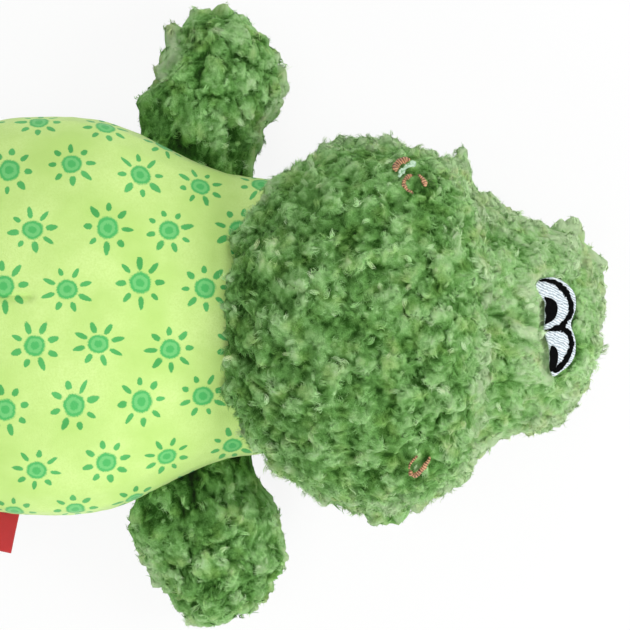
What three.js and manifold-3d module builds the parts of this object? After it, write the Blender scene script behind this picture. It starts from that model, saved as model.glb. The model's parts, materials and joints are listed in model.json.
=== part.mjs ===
// A stuffed animal, a toy for dogs, lying on its back as it is photographed: the printed belly faces up
// and the head is towards +X. Millimetres, +Z up. The origin is on the flat of the back that it rests on.
// Each stuffed form is two sewn panels of cloth round a core of loose fibre. The trunk's core holds a
// squeaker.
import * as THREE from 'three';
import { mergeVertices } from 'three/addons/utils/BufferGeometryUtils.js';
import Module from 'manifold-3d';

const wasm = await Module();
wasm.setup();

// Cloth and clearances
const PILE_CLOTH = 5; // long-pile cloth, from its knitted backing to the mean top of the pile
const PRINT_CLOTH = 2; // short-pile printed cloth
const SEW_GAP = 0.3; // between two sewn pieces
const REST_CUT = 0.5; // how deep the floor flattens a stuffed form

// Trunk, in plan and in profile. A round is the exponent of a superellipse.
const RUMP_X = -71;
const BELLY_X = -2; // where the trunk is widest and thickest
const BELLY_HALF_WIDTH = 65.3;
const BELLY_RISE = 37; // from the side seam up to the belly's crown
const SEAM_Z = 28; // height of the side seam
const SHOULDER_START_X = 8;
const SHOULDER_END_X = 68;
const SHOULDER_HALF_WIDTH = 44.5;
const NECK_X = 72; // the neck's axis lies across the toy, at the height of the side seam
const NECK_RADIUS = 26;
const RUMP_ROUND = 2.2;
const BELLY_ROUND = 2.2; // above the side seam, and all round the neck
const BACK_ROUND = 2.6; // below the side seam, where the trunk rests
const TRUNK_STEPS = 13;
const TRUNK_SIDES = 24;
const TRUNK_BUNCH = 0.75 * Math.PI; // bunches the trunk's rings towards the rump

// Head: a broad muzzle that leans on the chest, and a narrower crown. Front is towards the chest. A taper
// is the share of its half width that a lump loses on the way to its back end.
const HEAD_Y = -3; // the head is sewn on a little off the middle
const HEAD_SEAM_Z = 40;
const MUZZLE = {
  x: 102, z: 49, front: 44.5, back: 44, halfWidth: 61.5, taper: 0, rise: 35, drop: 49.5,
  frontRound: 1.9, backRound: 3.2, round: 2.3,
};
const CROWN = {
  x: 143, z: 33, front: 55, back: 41, halfWidth: 40, taper: 0.12, rise: 30, drop: 33.5,
  frontRound: 2.2, backRound: 2.8, round: 2.4,
};
const HEAD_STEPS = 12;
const HEAD_SIDES = 22;
const NOD_DEG = 40; // how far the head leans back from the chest
const NOD_SPARE_DEG = 2;

// Arms and legs: a flat sewn root that swells into a stub. A lean turns one from square to its seam.
const ROOT_RADIUS = 2.5; // half the thickness of the sewn root
const ROOT_EDGE = 0.2; // share of that thickness left at the very edge
const LIMB_ROUND = 2.2;
const LIMB_STEPS = 8;
const LIMB_SIDES = 14;
const ARM = {
  seatX: 49, rootHalfWidth: 19.5, lean: -12, length: 51, halfWidth: 24.3, halfThickness: 19.5,
  swell: 20, tip: 26,
};
const LEG = {
  seatX: -50, rootHalfWidth: 17, lean: 14, length: 54, halfWidth: 24.3, halfThickness: 20,
  swell: 20, tip: 26,
};
const MOST_DROOP_DEG = 45;
const DROOP_TRIES = 24;

// Embroidered eyes, both on one patch let into the pile of the crown. A line is an eye's black edge.
const EYES_X = 160; // the straight side of the patch
const EYES_Y = -3.9;
const EYE_LENGTH = 12.9; // to the outside of its line
const EYE_HALF_WIDTH = 8.1;
const EYE_SPACING = 15;
const EYE_LINE = 1.4;
const EYE_RIM = 0.9; // white border outside the line
const PATCH_THICK = 1;
const PATCH_DEPTH = 3.2; // how deep the patch's face lies in the pile at its middle
const THREAD_RISE = 0.7; // thickness of the satin stitch on the patch
const PUPIL = { length: 4.4, halfWidth: 4.2, fromBase: 3 };

// Embroidered nostrils: a curled line of satin stitch in a small hollow of the pile
const NOSTRILS = { right: { x: 119, y: 45.5, turn: 150 }, left: { x: 121, y: -47.5, turn: 210 } };
const CURL = {
  outer: 5.2, inner: 2.2, turns: 0.95, halfLine: 0.9, halfRise: 0.7, steps: 14, quarterSides: 3,
};
const CURL_DEPTH = 1.6; // how deep the hollow's floor lies in the pile

// Folded label in the side seam
const LABEL = { seatX: -21.5, width: 22, length: 14, ply: 0.45, fold: 0.35 };

// Squeaker: a flat bulb whose neck holds the whistle
const BULB = {
  x: -4, z: 24, radius: 21, height: 19, round: 6, wall: 1.2, neckRadius: 7, neckLength: 6,
  cornerSteps: 3, sides: 20,
};
const WHISTLE = { bore: 3, flange: 1.6, flangeThick: 1.5 };
const REED = { length: 8, width: 4.6, thick: 0.6 };
const POCKET_CUT = 3; // half the width of the cut in the fibre that the squeaker goes in by

const FAR = 400; // larger than the toy
const WELD = 1e-4; // points closer than this are one
const CURVE_SEGMENTS = 7; // of a drawn outline's arcs
const SLOPE_STEP = 4; // over which the head's slope is measured

const { degToRad, lerp, smoothstep } = THREE.MathUtils;

function finish(color, roughness) {
  return new THREE.MeshStandardMaterial({ color, roughness, metalness: 0 });
}
const pileCloth = () => finish(0x65924f, 0.95);
const printedCloth = () => finish(0xc6ee8f, 0.85);
const fibre = () => finish(0xf0efe9, 1);
const whiteThread = () => finish(0xd7e0e4, 0.6);
const blackThread = () => finish(0x14180f, 0.5);
const brownThread = () => finish(0xb0683f, 0.5);
const redWeave = () => finish(0xbe1014, 0.65);
const bulbPlastic = () => finish(0xe9ecea, 0.35);
const whistlePlastic = () => finish(0xf7f7f2, 0.4);
const reedPlastic = () => finish(0xd9b24a, 0.4);

// One closed mesh as a solid, with its collapsed triangles dropped and its faces turned out.
function toSolid(geometry) {
  const bare = geometry.clone();
  bare.deleteAttribute('normal');
  bare.deleteAttribute('uv');
  const merged = mergeVertices(bare, WELD);
  const corners = merged.index.array;
  const kept = [];
  for (let i = 0; i < corners.length; i += 3) {
    const [a, b, c] = corners.slice(i, i + 3);
    if (a !== b && b !== c && c !== a) kept.push(a, b, c);
  }
  const vertProperties = new Float32Array(merged.attributes.position.array);
  const solidOf = (list) => new wasm.Manifold(
    new wasm.Mesh({ numProp: 3, vertProperties, triVerts: new Uint32Array(list) }),
  );
  const solid = solidOf(kept);
  return solid.volume() > 0 ? solid : solidOf(kept.reverse());
}

function toMesh(name, solid, material) {
  const made = solid.getMesh();
  const geometry = new THREE.BufferGeometry();
  const corners = new Float32Array(made.vertProperties);
  geometry.setAttribute('position', new THREE.BufferAttribute(corners, 3));
  geometry.setIndex(new THREE.BufferAttribute(new Uint32Array(made.triVerts), 1));
  geometry.computeVertexNormals();
  const mesh = new THREE.Mesh(geometry, material);
  mesh.name = name;
  return mesh;
}

// A closed skin through rings of points. point(u, angle) is on the ring at u, which runs from 0 to 1 along
// the form.
function loft(steps, sides, point) {
  const ringPoint = (ring, j) => point(ring / steps, (2 * Math.PI * (j % sides)) / sides);
  const positions = [];
  const index = [];
  for (let ring = 0; ring <= steps; ring++) {
    for (let j = 0; j < sides; j++) positions.push(...ringPoint(ring, j).toArray());
  }
  for (let ring = 0; ring < steps; ring++) {
    for (let j = 0; j < sides; j++) {
      const a = ring * sides + j;
      const b = ring * sides + ((j + 1) % sides);
      index.push(a, b, a + sides, b, b + sides, a + sides);
    }
  }
  for (const ring of [0, steps]) {
    const centre = new THREE.Vector3();
    for (let j = 0; j < sides; j++) centre.addScaledVector(ringPoint(ring, j), 1 / sides);
    const hub = positions.length / 3;
    positions.push(...centre.toArray());
    for (let j = 0; j < sides; j++) {
      const a = ring * sides + j;
      const b = ring * sides + ((j + 1) % sides);
      index.push(...(ring ? [a, b, hub] : [b, a, hub]));
    }
  }
  const geometry = new THREE.BufferGeometry();
  geometry.setAttribute('position', new THREE.Float32BufferAttribute(positions, 3));
  geometry.setIndex(index);
  return geometry;
}

function box(low, high) {
  const size = high.map((value, i) => value - low[i]);
  const geometry = new THREE.BoxGeometry(...size);
  geometry.translate(...low.map((value, i) => value + size[i] / 2));
  return toSolid(geometry);
}
const above = (solid, z) => solid.intersect(box([-FAR, -FAR, z], [FAR, FAR, z + FAR]));
const below = (solid, z) => solid.intersect(box([-FAR, -FAR, z - FAR], [FAR, FAR, z]));

// A superellipse: how far out it is at a share of its length, and the sign-keeping power that draws its
// section.
const reach = (share, round) => Math.max(0, 1 - Math.abs(share) ** round) ** (1 / round);
const bow = (value, round) => Math.sign(value) * Math.abs(value) ** (2 / round);

// Trunk

// Half the trunk's width at the side seam, for the trunk with its surface moved in by a depth
function trunkHalfWidth(x, depth = 0) {
  const share = (BELLY_X - x) / (BELLY_X - RUMP_X - depth);
  if (x < BELLY_X) return (BELLY_HALF_WIDTH - depth) * reach(share, RUMP_ROUND);
  const shoulder = smoothstep(x, SHOULDER_START_X, SHOULDER_END_X);
  return lerp(BELLY_HALF_WIDTH, SHOULDER_HALF_WIDTH, shoulder) - depth;
}

// How far the trunk rises above its side seam, or drops below it
function trunkHeight(x, most, depth) {
  const share = (BELLY_X - x) / (BELLY_X - RUMP_X - depth);
  if (x < BELLY_X) return (most - depth) * reach(share, RUMP_ROUND);
  return lerp(most, NECK_RADIUS, smoothstep(x, SHOULDER_START_X, NECK_X)) - depth;
}

// The trunk with its surface moved in by a depth. It ends in a roll about the neck's axis, which the head
// turns on.
function trunkForm(depth) {
  const barrel = loft(TRUNK_STEPS, TRUNK_SIDES, (u, angle) => {
    const share = (1 - Math.cos(u * TRUNK_BUNCH)) / (1 - Math.cos(TRUNK_BUNCH));
    const x = lerp(RUMP_X + depth, NECK_X, share);
    const up = Math.sin(angle) >= 0;
    const lower = lerp(BACK_ROUND, BELLY_ROUND, smoothstep(x, BELLY_X, NECK_X));
    const round = up ? BELLY_ROUND : lower;
    const height = trunkHeight(x, up ? BELLY_RISE : SEAM_Z + REST_CUT, depth);
    return new THREE.Vector3(
      x,
      trunkHalfWidth(x, depth) * bow(Math.cos(angle), round),
      SEAM_Z + height * bow(Math.sin(angle), round),
    );
  });
  return toSolid(barrel).add(neckRoll(depth));
}

function neckRoll(depth) {
  const halfWidth = SHOULDER_HALF_WIDTH - depth;
  const radius = NECK_RADIUS - depth;
  const rings = TRUNK_SIDES / 2;
  const profile = [];
  for (let i = 0; i <= rings; i++) {
    const share = -Math.cos((Math.PI * i) / rings);
    profile.push(new THREE.Vector2(i % rings ? radius * reach(share, BELLY_ROUND) : 0, halfWidth * share));
  }
  const geometry = new THREE.LatheGeometry(profile, TRUNK_SIDES);
  geometry.translate(NECK_X, 0, SEAM_Z);
  return toSolid(geometry);
}

// The two panels of a form: what is left above and below its seam once the core is taken out.
function panels(outer, frontCore, backCore, seam) {
  return [
    above(outer, seam + SEW_GAP / 2).subtract(frontCore),
    below(outer, seam - SEW_GAP / 2).subtract(backCore),
  ];
}

function buildTrunk() {
  const outer = above(trunkForm(0), 0);
  const [front, back] = panels(outer, trunkForm(PRINT_CLOTH), trunkForm(PILE_CLOTH), SEAM_Z);
  const upper = above(trunkForm(PRINT_CLOTH + SEW_GAP), SEAM_Z);
  const lower = below(trunkForm(PILE_CLOTH + SEW_GAP), SEAM_Z);
  const stuffing = upper.add(lower).subtract(squeakerPocket());
  return [
    toMesh('body_front_panel', front, printedCloth()),
    toMesh('body_back_panel', back, pileCloth()),
    toMesh('body_stuffing', stuffing, fibre()),
  ];
}

// Squeaker

// A solid turned about the bulb's axis from [radius, height] pairs, which start and end on the axis or
// close
function turned(points) {
  const profile = points.map(([r, z]) => new THREE.Vector2(r, z));
  const geometry = new THREE.LatheGeometry(profile, BULB.sides);
  geometry.rotateX(Math.PI / 2);
  geometry.translate(BULB.x, 0, BULB.z);
  return toSolid(geometry);
}

// The bulb's outer half-section moved out by a depth, from the mouth of its neck to the middle of its top
function bulbOutline(depth) {
  const side = BULB.radius + depth;
  const top = BULB.height + depth;
  const points = [[BULB.neckRadius + depth, -BULB.neckLength], [BULB.neckRadius + depth, -depth]];
  const corner = (x, z, from) => {
    for (let i = 0; i <= BULB.cornerSteps; i++) {
      const angle = from + (i / BULB.cornerSteps) * (Math.PI / 2);
      const radius = BULB.round + depth;
      points.push([x + radius * Math.cos(angle), z + radius * Math.sin(angle)]);
    }
  };
  corner(side - BULB.round - depth, BULB.round, -Math.PI / 2);
  corner(side - BULB.round - depth, top - BULB.round - depth, 0);
  points.push([0, top]);
  return points;
}

// The hollow in the fibre that the squeaker lies in, with the cut down to the back that it went in by
function squeakerPocket() {
  const outline = bulbOutline(SEW_GAP);
  const floor = -BULB.neckLength - WHISTLE.flangeThick - SEW_GAP;
  const wide = BULB.neckRadius + WHISTLE.flange + SEW_GAP;
  const hollow = turned([[0, floor], [wide, floor], [wide, -SEW_GAP], ...outline.slice(2)]);
  const cut = box(
    [BULB.x - BULB.neckRadius, -POCKET_CUT, -FAR],
    [BULB.x + BULB.neckRadius, POCKET_CUT, BULB.z + floor + 1],
  );
  return hollow.add(cut);
}

function buildSqueaker() {
  const outline = bulbOutline(0);
  const inner = bulbOutline(-BULB.wall).reverse();
  const bulb = turned([...outline, ...inner, outline[0]]);
  const plug = BULB.neckRadius - BULB.wall - SEW_GAP;
  const lip = BULB.neckRadius + WHISTLE.flange;
  const seat = -BULB.neckLength - SEW_GAP;
  const valve = turned([
    [WHISTLE.bore, seat - WHISTLE.flangeThick],
    [lip, seat - WHISTLE.flangeThick],
    [lip, seat],
    [plug, seat],
    [plug, 0],
    [WHISTLE.bore, 0],
    [WHISTLE.bore, seat - WHISTLE.flangeThick],
  ]);
  const reed = box(
    [BULB.x - REED.width / 2, -REED.thick / 2, BULB.z - REED.length],
    [BULB.x + REED.width / 2, REED.thick / 2, BULB.z],
  );
  return [
    toMesh('squeaker_bulb', bulb, bulbPlastic()),
    toMesh('squeaker_valve', valve, whistlePlastic()),
    toMesh('squeaker_reed', reed, reedPlastic()),
  ];
}

// Head

// Half a lump's width at a share of its length, before its ends close
const tapered = (form, share) => form.halfWidth * (1 - form.taper * Math.max(0, share));

// A lump with its poles along X, moved in by a depth
function lump(form, depth) {
  const surface = loft(HEAD_STEPS, HEAD_SIDES, (u, angle) => {
    const share = -Math.cos(u * Math.PI);
    const length = (share < 0 ? form.front : form.back) - depth;
    const size = reach(share, share < 0 ? form.frontRound : form.backRound);
    const height = (Math.sin(angle) < 0 ? form.drop : form.rise) - depth;
    return new THREE.Vector3(
      form.x + share * length,
      HEAD_Y + (tapered(form, share) - depth) * size * bow(Math.cos(angle), form.round),
      form.z + height * size * bow(Math.sin(angle), form.round),
    );
  });
  return toSolid(surface);
}
const headForm = (depth) => lump(MUZZLE, depth).add(lump(CROWN, depth));

// Height of the head's upper surface over a point of the plan
function headTop(x, y) {
  const top = (form) => {
    const share = (x - form.x) / (x < form.x ? form.front : form.back);
    const size = reach(share, x < form.x ? form.frontRound : form.backRound);
    const across = size ? (y - HEAD_Y) / (tapered(form, share) * size) : 1;
    return form.z + form.rise * size * reach(across, form.round);
  };
  return Math.max(top(MUZZLE), top(CROWN));
}

// A frame on the head over a point of the plan: its z leaves the surface squarely and its x runs towards
// +X, and it lies a depth below the surface.
function headSeat(x, y, depth) {
  const step = SLOPE_STEP;
  const slopeX = (headTop(x + step, y) - headTop(x - step, y)) / (2 * step);
  const slopeY = (headTop(x, y + step) - headTop(x, y - step)) / (2 * step);
  const out = new THREE.Vector3(-slopeX, -slopeY, 1).normalize();
  const along = new THREE.Vector3(1, 0, slopeX).normalize();
  const across = new THREE.Vector3().crossVectors(out, along);
  along.crossVectors(across, out);
  const frame = new THREE.Matrix4().makeBasis(along, across, out);
  const point = new THREE.Vector3(x, y, headTop(x, y)).addScaledVector(out, -depth);
  return frame.setPosition(point);
}

// What the head leaves free for the trunk: the trunk and its neck roll, and below the neck's axis the
// wedge that the head leans back into. A margin makes it larger.
function neckClearance(margin) {
  const lean = degToRad(NOD_DEG + NOD_SPARE_DEG);
  const wedge = new THREE.Shape([
    new THREE.Vector2(-FAR, 0),
    new THREE.Vector2(-FAR, -FAR),
    new THREE.Vector2(FAR * Math.tan(lean), -FAR),
    new THREE.Vector2(0, 0),
  ]);
  const geometry = new THREE.ExtrudeGeometry(wedge, { depth: 2 * FAR, bevelEnabled: false });
  geometry.translate(0, 0, -FAR);
  geometry.rotateX(Math.PI / 2);
  geometry.translate(NECK_X + margin / Math.cos(lean), 0, SEAM_Z);
  return trunkForm(-SEW_GAP - margin).add(toSolid(geometry));
}

function buildHead(pockets) {
  const outer = above(headForm(0).subtract(neckClearance(0)), 0);
  const core = headForm(PILE_CLOTH).subtract(neckClearance(PILE_CLOTH));
  const [face, back] = panels(outer, core, core, HEAD_SEAM_Z);
  const facePanel = pockets.reduce((panel, pocket) => panel.subtract(pocket), face);
  const stuffing = headForm(PILE_CLOTH + SEW_GAP).subtract(neckClearance(PILE_CLOTH + SEW_GAP));
  return [
    toMesh('head_face_panel', facePanel, pileCloth()),
    toMesh('head_back_panel', back, pileCloth()),
    toMesh('head_stuffing', stuffing, fibre()),
  ];
}

// Embroidery

function plate(shape, low, high, frame) {
  const geometry = new THREE.ExtrudeGeometry(shape, {
    depth: high - low, bevelEnabled: false, curveSegments: CURVE_SEGMENTS,
  });
  geometry.translate(0, 0, low);
  geometry.applyMatrix4(frame);
  return toSolid(geometry);
}

// Half an ellipse on a straight side, round a place across the patch
function dome(length, halfWidth, base, across) {
  const shape = new THREE.Shape();
  shape.moveTo(base, across - halfWidth);
  shape.absellipse(base, across, length, halfWidth, -Math.PI / 2, Math.PI / 2, false, 0);
  shape.closePath();
  return shape;
}

// The band between an eye's outer edge and that edge moved in by the line's width
function eyeLine(across) {
  const shape = dome(EYE_LENGTH, EYE_HALF_WIDTH, 0, across);
  shape.curves.pop();
  shape.currentPoint.set(0, across + EYE_HALF_WIDTH);
  shape.lineTo(0, across + EYE_HALF_WIDTH - EYE_LINE);
  shape.absellipse(
    0, across, EYE_LENGTH - EYE_LINE, EYE_HALF_WIDTH - EYE_LINE, Math.PI / 2, -Math.PI / 2, true, 0,
  );
  shape.closePath();
  return shape;
}

function buildEyes() {
  const frame = headSeat(EYES_X, EYES_Y, PATCH_DEPTH);
  const sides = [EYE_SPACING / 2, -EYE_SPACING / 2];
  const patchShapes = (grow) => sides.map(
    (across) => dome(EYE_LENGTH + EYE_RIM + grow, EYE_HALF_WIDTH + EYE_RIM + grow, -grow, across),
  );
  const both = (shapes, low, high) => {
    const [first, second] = shapes.map((shape) => plate(shape, low, high, frame));
    return first.add(second);
  };
  const stitched = [SEW_GAP, SEW_GAP + THREAD_RISE];
  const pupils = sides.map(
    (across) => plate(dome(PUPIL.length, PUPIL.halfWidth, PUPIL.fromBase, across), ...stitched, frame),
  );
  return {
    pocket: both(patchShapes(SEW_GAP), -PATCH_THICK - SEW_GAP, FAR),
    meshes: [
      toMesh('eye_patch', both(patchShapes(0), -PATCH_THICK, 0), whiteThread()),
      toMesh('eye_outline', both(sides.map(eyeLine), ...stitched), blackThread()),
      toMesh('pupil_right', pupils[0], blackThread()),
      toMesh('pupil_left', pupils[1], blackThread()),
    ],
  };
}

// A flat curl of satin stitch, and the round hollow that it lies in
function buildNostril(side) {
  const { x, y, turn } = NOSTRILS[side];
  const frame = headSeat(x, y, CURL_DEPTH);
  const hand = Math.sign(y);
  const route = [];
  for (let i = 0; i <= CURL.steps; i++) {
    const u = i / CURL.steps;
    const angle = hand * (degToRad(turn) * hand + u * CURL.turns * 2 * Math.PI);
    const radius = lerp(CURL.inner, CURL.outer, u);
    route.push(new THREE.Vector3(
      radius * Math.cos(angle), radius * Math.sin(angle), SEW_GAP + CURL.halfRise,
    ));
  }
  const section = new THREE.Shape();
  section.absellipse(0, 0, CURL.halfRise, CURL.halfLine, 0, 2 * Math.PI, false, 0);
  const curl = new THREE.ExtrudeGeometry(section, {
    steps: CURL.steps,
    curveSegments: CURL.quarterSides,
    bevelEnabled: false,
    extrudePath: new THREE.CatmullRomCurve3(route),
  });
  curl.applyMatrix4(frame);
  const rim = new THREE.Shape();
  rim.absarc(0, 0, CURL.outer + CURL.halfLine + SEW_GAP, 0, 2 * Math.PI, false);
  return {
    pocket: plate(rim, 0, FAR, frame),
    meshes: [toMesh(`nostril_${side}`, toSolid(curl), brownThread())],
  };
}

// Arms, legs and label, which are sewn into the side seam

// The straight line in plan that a root is sewn along: its middle, its direction, and the way out from the
// trunk. It is the seam's chord moved out until a root of some radius clears the trunk along its length.
function rootLine(seatX, halfLength, radius) {
  const from = new THREE.Vector2(seatX - halfLength, trunkHalfWidth(seatX - halfLength));
  const to = new THREE.Vector2(seatX + halfLength, trunkHalfWidth(seatX + halfLength));
  const along = to.clone().sub(from).normalize();
  const out = new THREE.Vector2(-along.y, along.x);
  let bulge = 0;
  for (let x = from.x; x <= to.x; x += 1) {
    bulge = Math.max(bulge, new THREE.Vector2(x, trunkHalfWidth(x)).sub(from).dot(out));
  }
  const middle = from.clone().add(to).multiplyScalar(0.5);
  middle.addScaledVector(out, bulge + radius + SEW_GAP);
  return { middle, along, out };
}

// A limb on the toy's right side (+Y), in plan, moved in by a depth. The axis of its root's rounded edge
// runs through the origin.
function limbForm(limb, depth, root) {
  const axis = root.out.clone().rotateAround(new THREE.Vector2(), degToRad(-limb.lean));
  const square = new THREE.Vector2(axis.y, -axis.x);
  const start = depth ? limb.swell / 2 : -ROOT_RADIUS;
  const end = limb.length - depth;
  const shoulder = limb.length - limb.tip;
  return loft(LIMB_STEPS, LIMB_SIDES, (u, angle) => {
    const along = lerp(start, end, (1 - Math.cos(u * Math.PI)) / 2);
    const open = smoothstep(along, 0, limb.swell);
    const tip = along > shoulder ? reach((along - shoulder) / (end - shoulder), LIMB_ROUND) : 1;
    const edge = along < 0 ? Math.max(ROOT_EDGE, reach(along / ROOT_RADIUS, 2)) : 1;
    const width = (lerp(limb.rootHalfWidth, limb.halfWidth, open) - depth) * tip;
    const thick = (lerp(ROOT_RADIUS, limb.halfThickness, Math.sqrt(open)) - depth) * tip * edge;
    const side = root.along.clone().lerp(square, open).normalize();
    const across = width * Math.cos(angle);
    return new THREE.Vector3(
      axis.x * along + side.x * across, axis.y * along + side.y * across, thick * Math.sin(angle),
    );
  });
}

// Hangs a limb's form from its root's axis, so that it droops until the floor flattens it.
function droopOf(form, root) {
  const axis = new THREE.Vector3(root.along.x, root.along.y, 0);
  const point = new THREE.Vector3();
  const lowest = (angle) => {
    const position = form.attributes.position;
    let low = FAR;
    for (let i = 0; i < position.count; i++) {
      low = Math.min(low, point.fromBufferAttribute(position, i).applyAxisAngle(axis, angle).z);
    }
    return low;
  };
  let [high, low] = [0, -degToRad(MOST_DROOP_DEG)];
  for (let i = 0; i < DROOP_TRIES; i++) {
    const middle = (high + low) / 2;
    if (SEAM_Z + lowest(middle) > -REST_CUT) high = middle;
    else low = middle;
  }
  return new THREE.Matrix4().makeRotationAxis(axis, (high + low) / 2);
}

function buildLimb(name, limb, hand) {
  const root = rootLine(limb.seatX, limb.rootHalfWidth, ROOT_RADIUS);
  const outer = limbForm(limb, 0, root);
  const place = new THREE.Matrix4().makeTranslation(root.middle.x, root.middle.y, SEAM_Z);
  place.multiply(droopOf(outer, root));
  const mirror = new THREE.Matrix4().makeScale(1, hand, 1);
  const placed = (solid) => above(solid.transform(mirror.clone().multiply(place).elements), 0);
  const core = toSolid(limbForm(limb, PILE_CLOTH, root));
  const [front, back] = panels(toSolid(outer), core, core, 0);
  const stuffing = toSolid(limbForm(limb, PILE_CLOTH + SEW_GAP, root));
  return [
    toMesh(`${name}_front_panel`, placed(front), pileCloth()),
    toMesh(`${name}_back_panel`, placed(back), pileCloth()),
    toMesh(`${name}_stuffing`, placed(stuffing), fibre()),
  ];
}

// A woven strip folded in two, with its fold away from the trunk
function buildLabel() {
  const half = LABEL.fold / 2 + LABEL.ply;
  const root = rootLine(LABEL.seatX, LABEL.width / 2, half);
  const section = new THREE.Shape();
  section.moveTo(-half / 2, -half);
  section.lineTo(LABEL.length - half, -half);
  section.absarc(LABEL.length - half, 0, half, -Math.PI / 2, Math.PI / 2, false);
  section.lineTo(-half / 2, half);
  section.lineTo(-half / 2, LABEL.fold / 2);
  section.lineTo(LABEL.length - half, LABEL.fold / 2);
  section.absarc(LABEL.length - half, 0, LABEL.fold / 2, Math.PI / 2, -Math.PI / 2, true);
  section.lineTo(-half / 2, -LABEL.fold / 2);
  section.closePath();
  const geometry = new THREE.ExtrudeGeometry(section, {
    depth: LABEL.width, bevelEnabled: false, curveSegments: CURVE_SEGMENTS,
  });
  geometry.translate(0, 0, -LABEL.width / 2);
  const out = new THREE.Vector3(root.out.x, -root.out.y, 0);
  const up = new THREE.Vector3(0, 0, 1);
  const across = new THREE.Vector3().crossVectors(out, up);
  const place = new THREE.Matrix4().makeBasis(out, up, across);
  place.setPosition(root.middle.x, -root.middle.y, SEAM_Z);
  geometry.applyMatrix4(place);
  return toMesh('side_label', toSolid(geometry), redWeave());
}

const toy = new THREE.Group();
const eyes = buildEyes();
const nostrils = [buildNostril('right'), buildNostril('left')];
toy.add(...buildTrunk(), ...buildSqueaker());
toy.add(...buildHead([eyes.pocket, ...nostrils.map((nostril) => nostril.pocket)]));
toy.add(...eyes.meshes, ...nostrils.flatMap((nostril) => nostril.meshes));
toy.add(...buildLimb('arm_right', ARM, 1), ...buildLimb('arm_left', ARM, -1));
toy.add(...buildLimb('leg_right', LEG, 1), ...buildLimb('leg_left', LEG, -1));
toy.add(buildLabel());

export default toy;
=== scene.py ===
"""A plush animal toy lying on its back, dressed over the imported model. Metres, +Z up, head towards +X.

Soft forms are moved point by point in code, without cloth simulation."""
import json
import math

import bmesh
import bpy
import numpy as np
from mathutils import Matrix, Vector, noise
from mathutils.bvhtree import BVHTree
from mathutils.geometry import intersect_line_plane


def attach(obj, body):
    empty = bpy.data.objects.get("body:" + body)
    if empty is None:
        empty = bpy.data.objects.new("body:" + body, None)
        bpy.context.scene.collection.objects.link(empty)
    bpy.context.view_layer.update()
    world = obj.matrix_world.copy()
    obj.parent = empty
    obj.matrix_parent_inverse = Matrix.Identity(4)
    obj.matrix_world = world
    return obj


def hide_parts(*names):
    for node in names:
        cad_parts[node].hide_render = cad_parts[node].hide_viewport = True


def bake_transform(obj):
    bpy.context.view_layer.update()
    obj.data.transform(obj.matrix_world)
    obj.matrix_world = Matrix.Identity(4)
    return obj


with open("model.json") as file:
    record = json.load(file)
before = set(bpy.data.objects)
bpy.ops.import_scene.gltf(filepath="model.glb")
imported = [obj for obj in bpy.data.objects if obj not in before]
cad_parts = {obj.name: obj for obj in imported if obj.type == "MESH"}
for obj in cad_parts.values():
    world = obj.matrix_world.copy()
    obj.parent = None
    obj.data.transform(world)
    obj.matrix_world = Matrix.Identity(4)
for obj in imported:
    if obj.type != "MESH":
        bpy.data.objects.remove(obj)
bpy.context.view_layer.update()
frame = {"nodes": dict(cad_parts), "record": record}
MM = 0.001

# The photograph's frame: millimetres a pixel at the toy's outline, and the pixel over the row frame's origin
MM_PER_PX = 0.33
FRAME_PX = 630
ORIGIN_PX = (50, 316)
OUTLINE_Z = 36 * MM
VIEW_HEIGHT = 950 * MM  # of the camera over the outline
SENSOR_MM = 36
CAMERA = Vector((
    (FRAME_PX / 2 - ORIGIN_PX[0]) * MM_PER_PX * MM,
    (ORIGIN_PX[1] - FRAME_PX / 2) * MM_PER_PX * MM,
    OUTLINE_Z + VIEW_HEIGHT,
))

# Light: the world and broad lamps round the toy, the strongest over the head's end
WORLD_LIGHT = 0.40
LAMP_SIZE = 0.3
LAMPS = (  # place and watts
    ((0.55, -0.06, 0.42), 1.9),
    ((0.16, 0.62, 0.42), 1.5),
    ((0.00, -0.62, 0.45), 2.3),
    ((-0.25, -0.05, 0.90), 0.9),
)
FLOOR_COLOUR = (0.9, 0.9, 0.9, 1)
FLOOR_GLOW = 0.9  # share of the floor's white that no shadow darkens
FLOOR_SIZE = 1.6

SEED = 7
noise.seed_set(SEED)  # without it the clock shifts noise_vector at each start of Blender
WHITE = (1, 1, 1, 1)
SEAM_Z = 28 * MM
HEAD_SEAM_Z = 40 * MM
LIMBS = ("arm_right", "arm_left", "leg_right", "leg_left")
SKINS = {  # panels, fineness of the ball drawn over them, and turns of smoothing
    "head": (("head_face_panel", "head_back_panel"), 7, 9),
    "trunk": (("body_front_panel", "body_back_panel"), 6, 5),
    **{limb: ((f"{limb}_front_panel", f"{limb}_back_panel"), 6, 3) for limb in LIMBS},
}
SEAM_BRIDGE = 2  # points that a bridge over the slit between two panels spans
SLIT_DEPTH = 0.04  # the least dip that counts as the slit, as a share of the form's size


def srgb(r, g, b):
    """An 8-bit sRGB colour as linear RGBA."""
    def linear(value):
        share = value / 255
        return share / 12.92 if share <= 0.04045 else ((share + 0.055) / 1.055) ** 2.4
    return (linear(r), linear(g), linear(b), 1.0)


def unit(vectors):
    return vectors / np.maximum(np.linalg.norm(vectors, axis=-1, keepdims=True), 1e-12)


def ease(low, high, values):
    """A smooth step from 0 to 1."""
    share = np.clip((values - low) / (high - low), 0, 1)
    return share * share * (3 - 2 * share)


# Materials

def arithmetic(operation, swapped=False):
    def apply(value, other):
        return value.nodes.math(operation, *((other, value) if swapped else (value, other)))
    return apply


class Value:
    """What a node gives, so that sums are written as plain arithmetic."""

    def __init__(self, nodes, socket):
        self.nodes = nodes
        self.socket = socket

    __add__ = arithmetic("ADD")
    __radd__ = arithmetic("ADD", swapped=True)
    __sub__ = arithmetic("SUBTRACT")
    __rsub__ = arithmetic("SUBTRACT", swapped=True)
    __mul__ = arithmetic("MULTIPLY")
    __truediv__ = arithmetic("DIVIDE")


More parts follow.
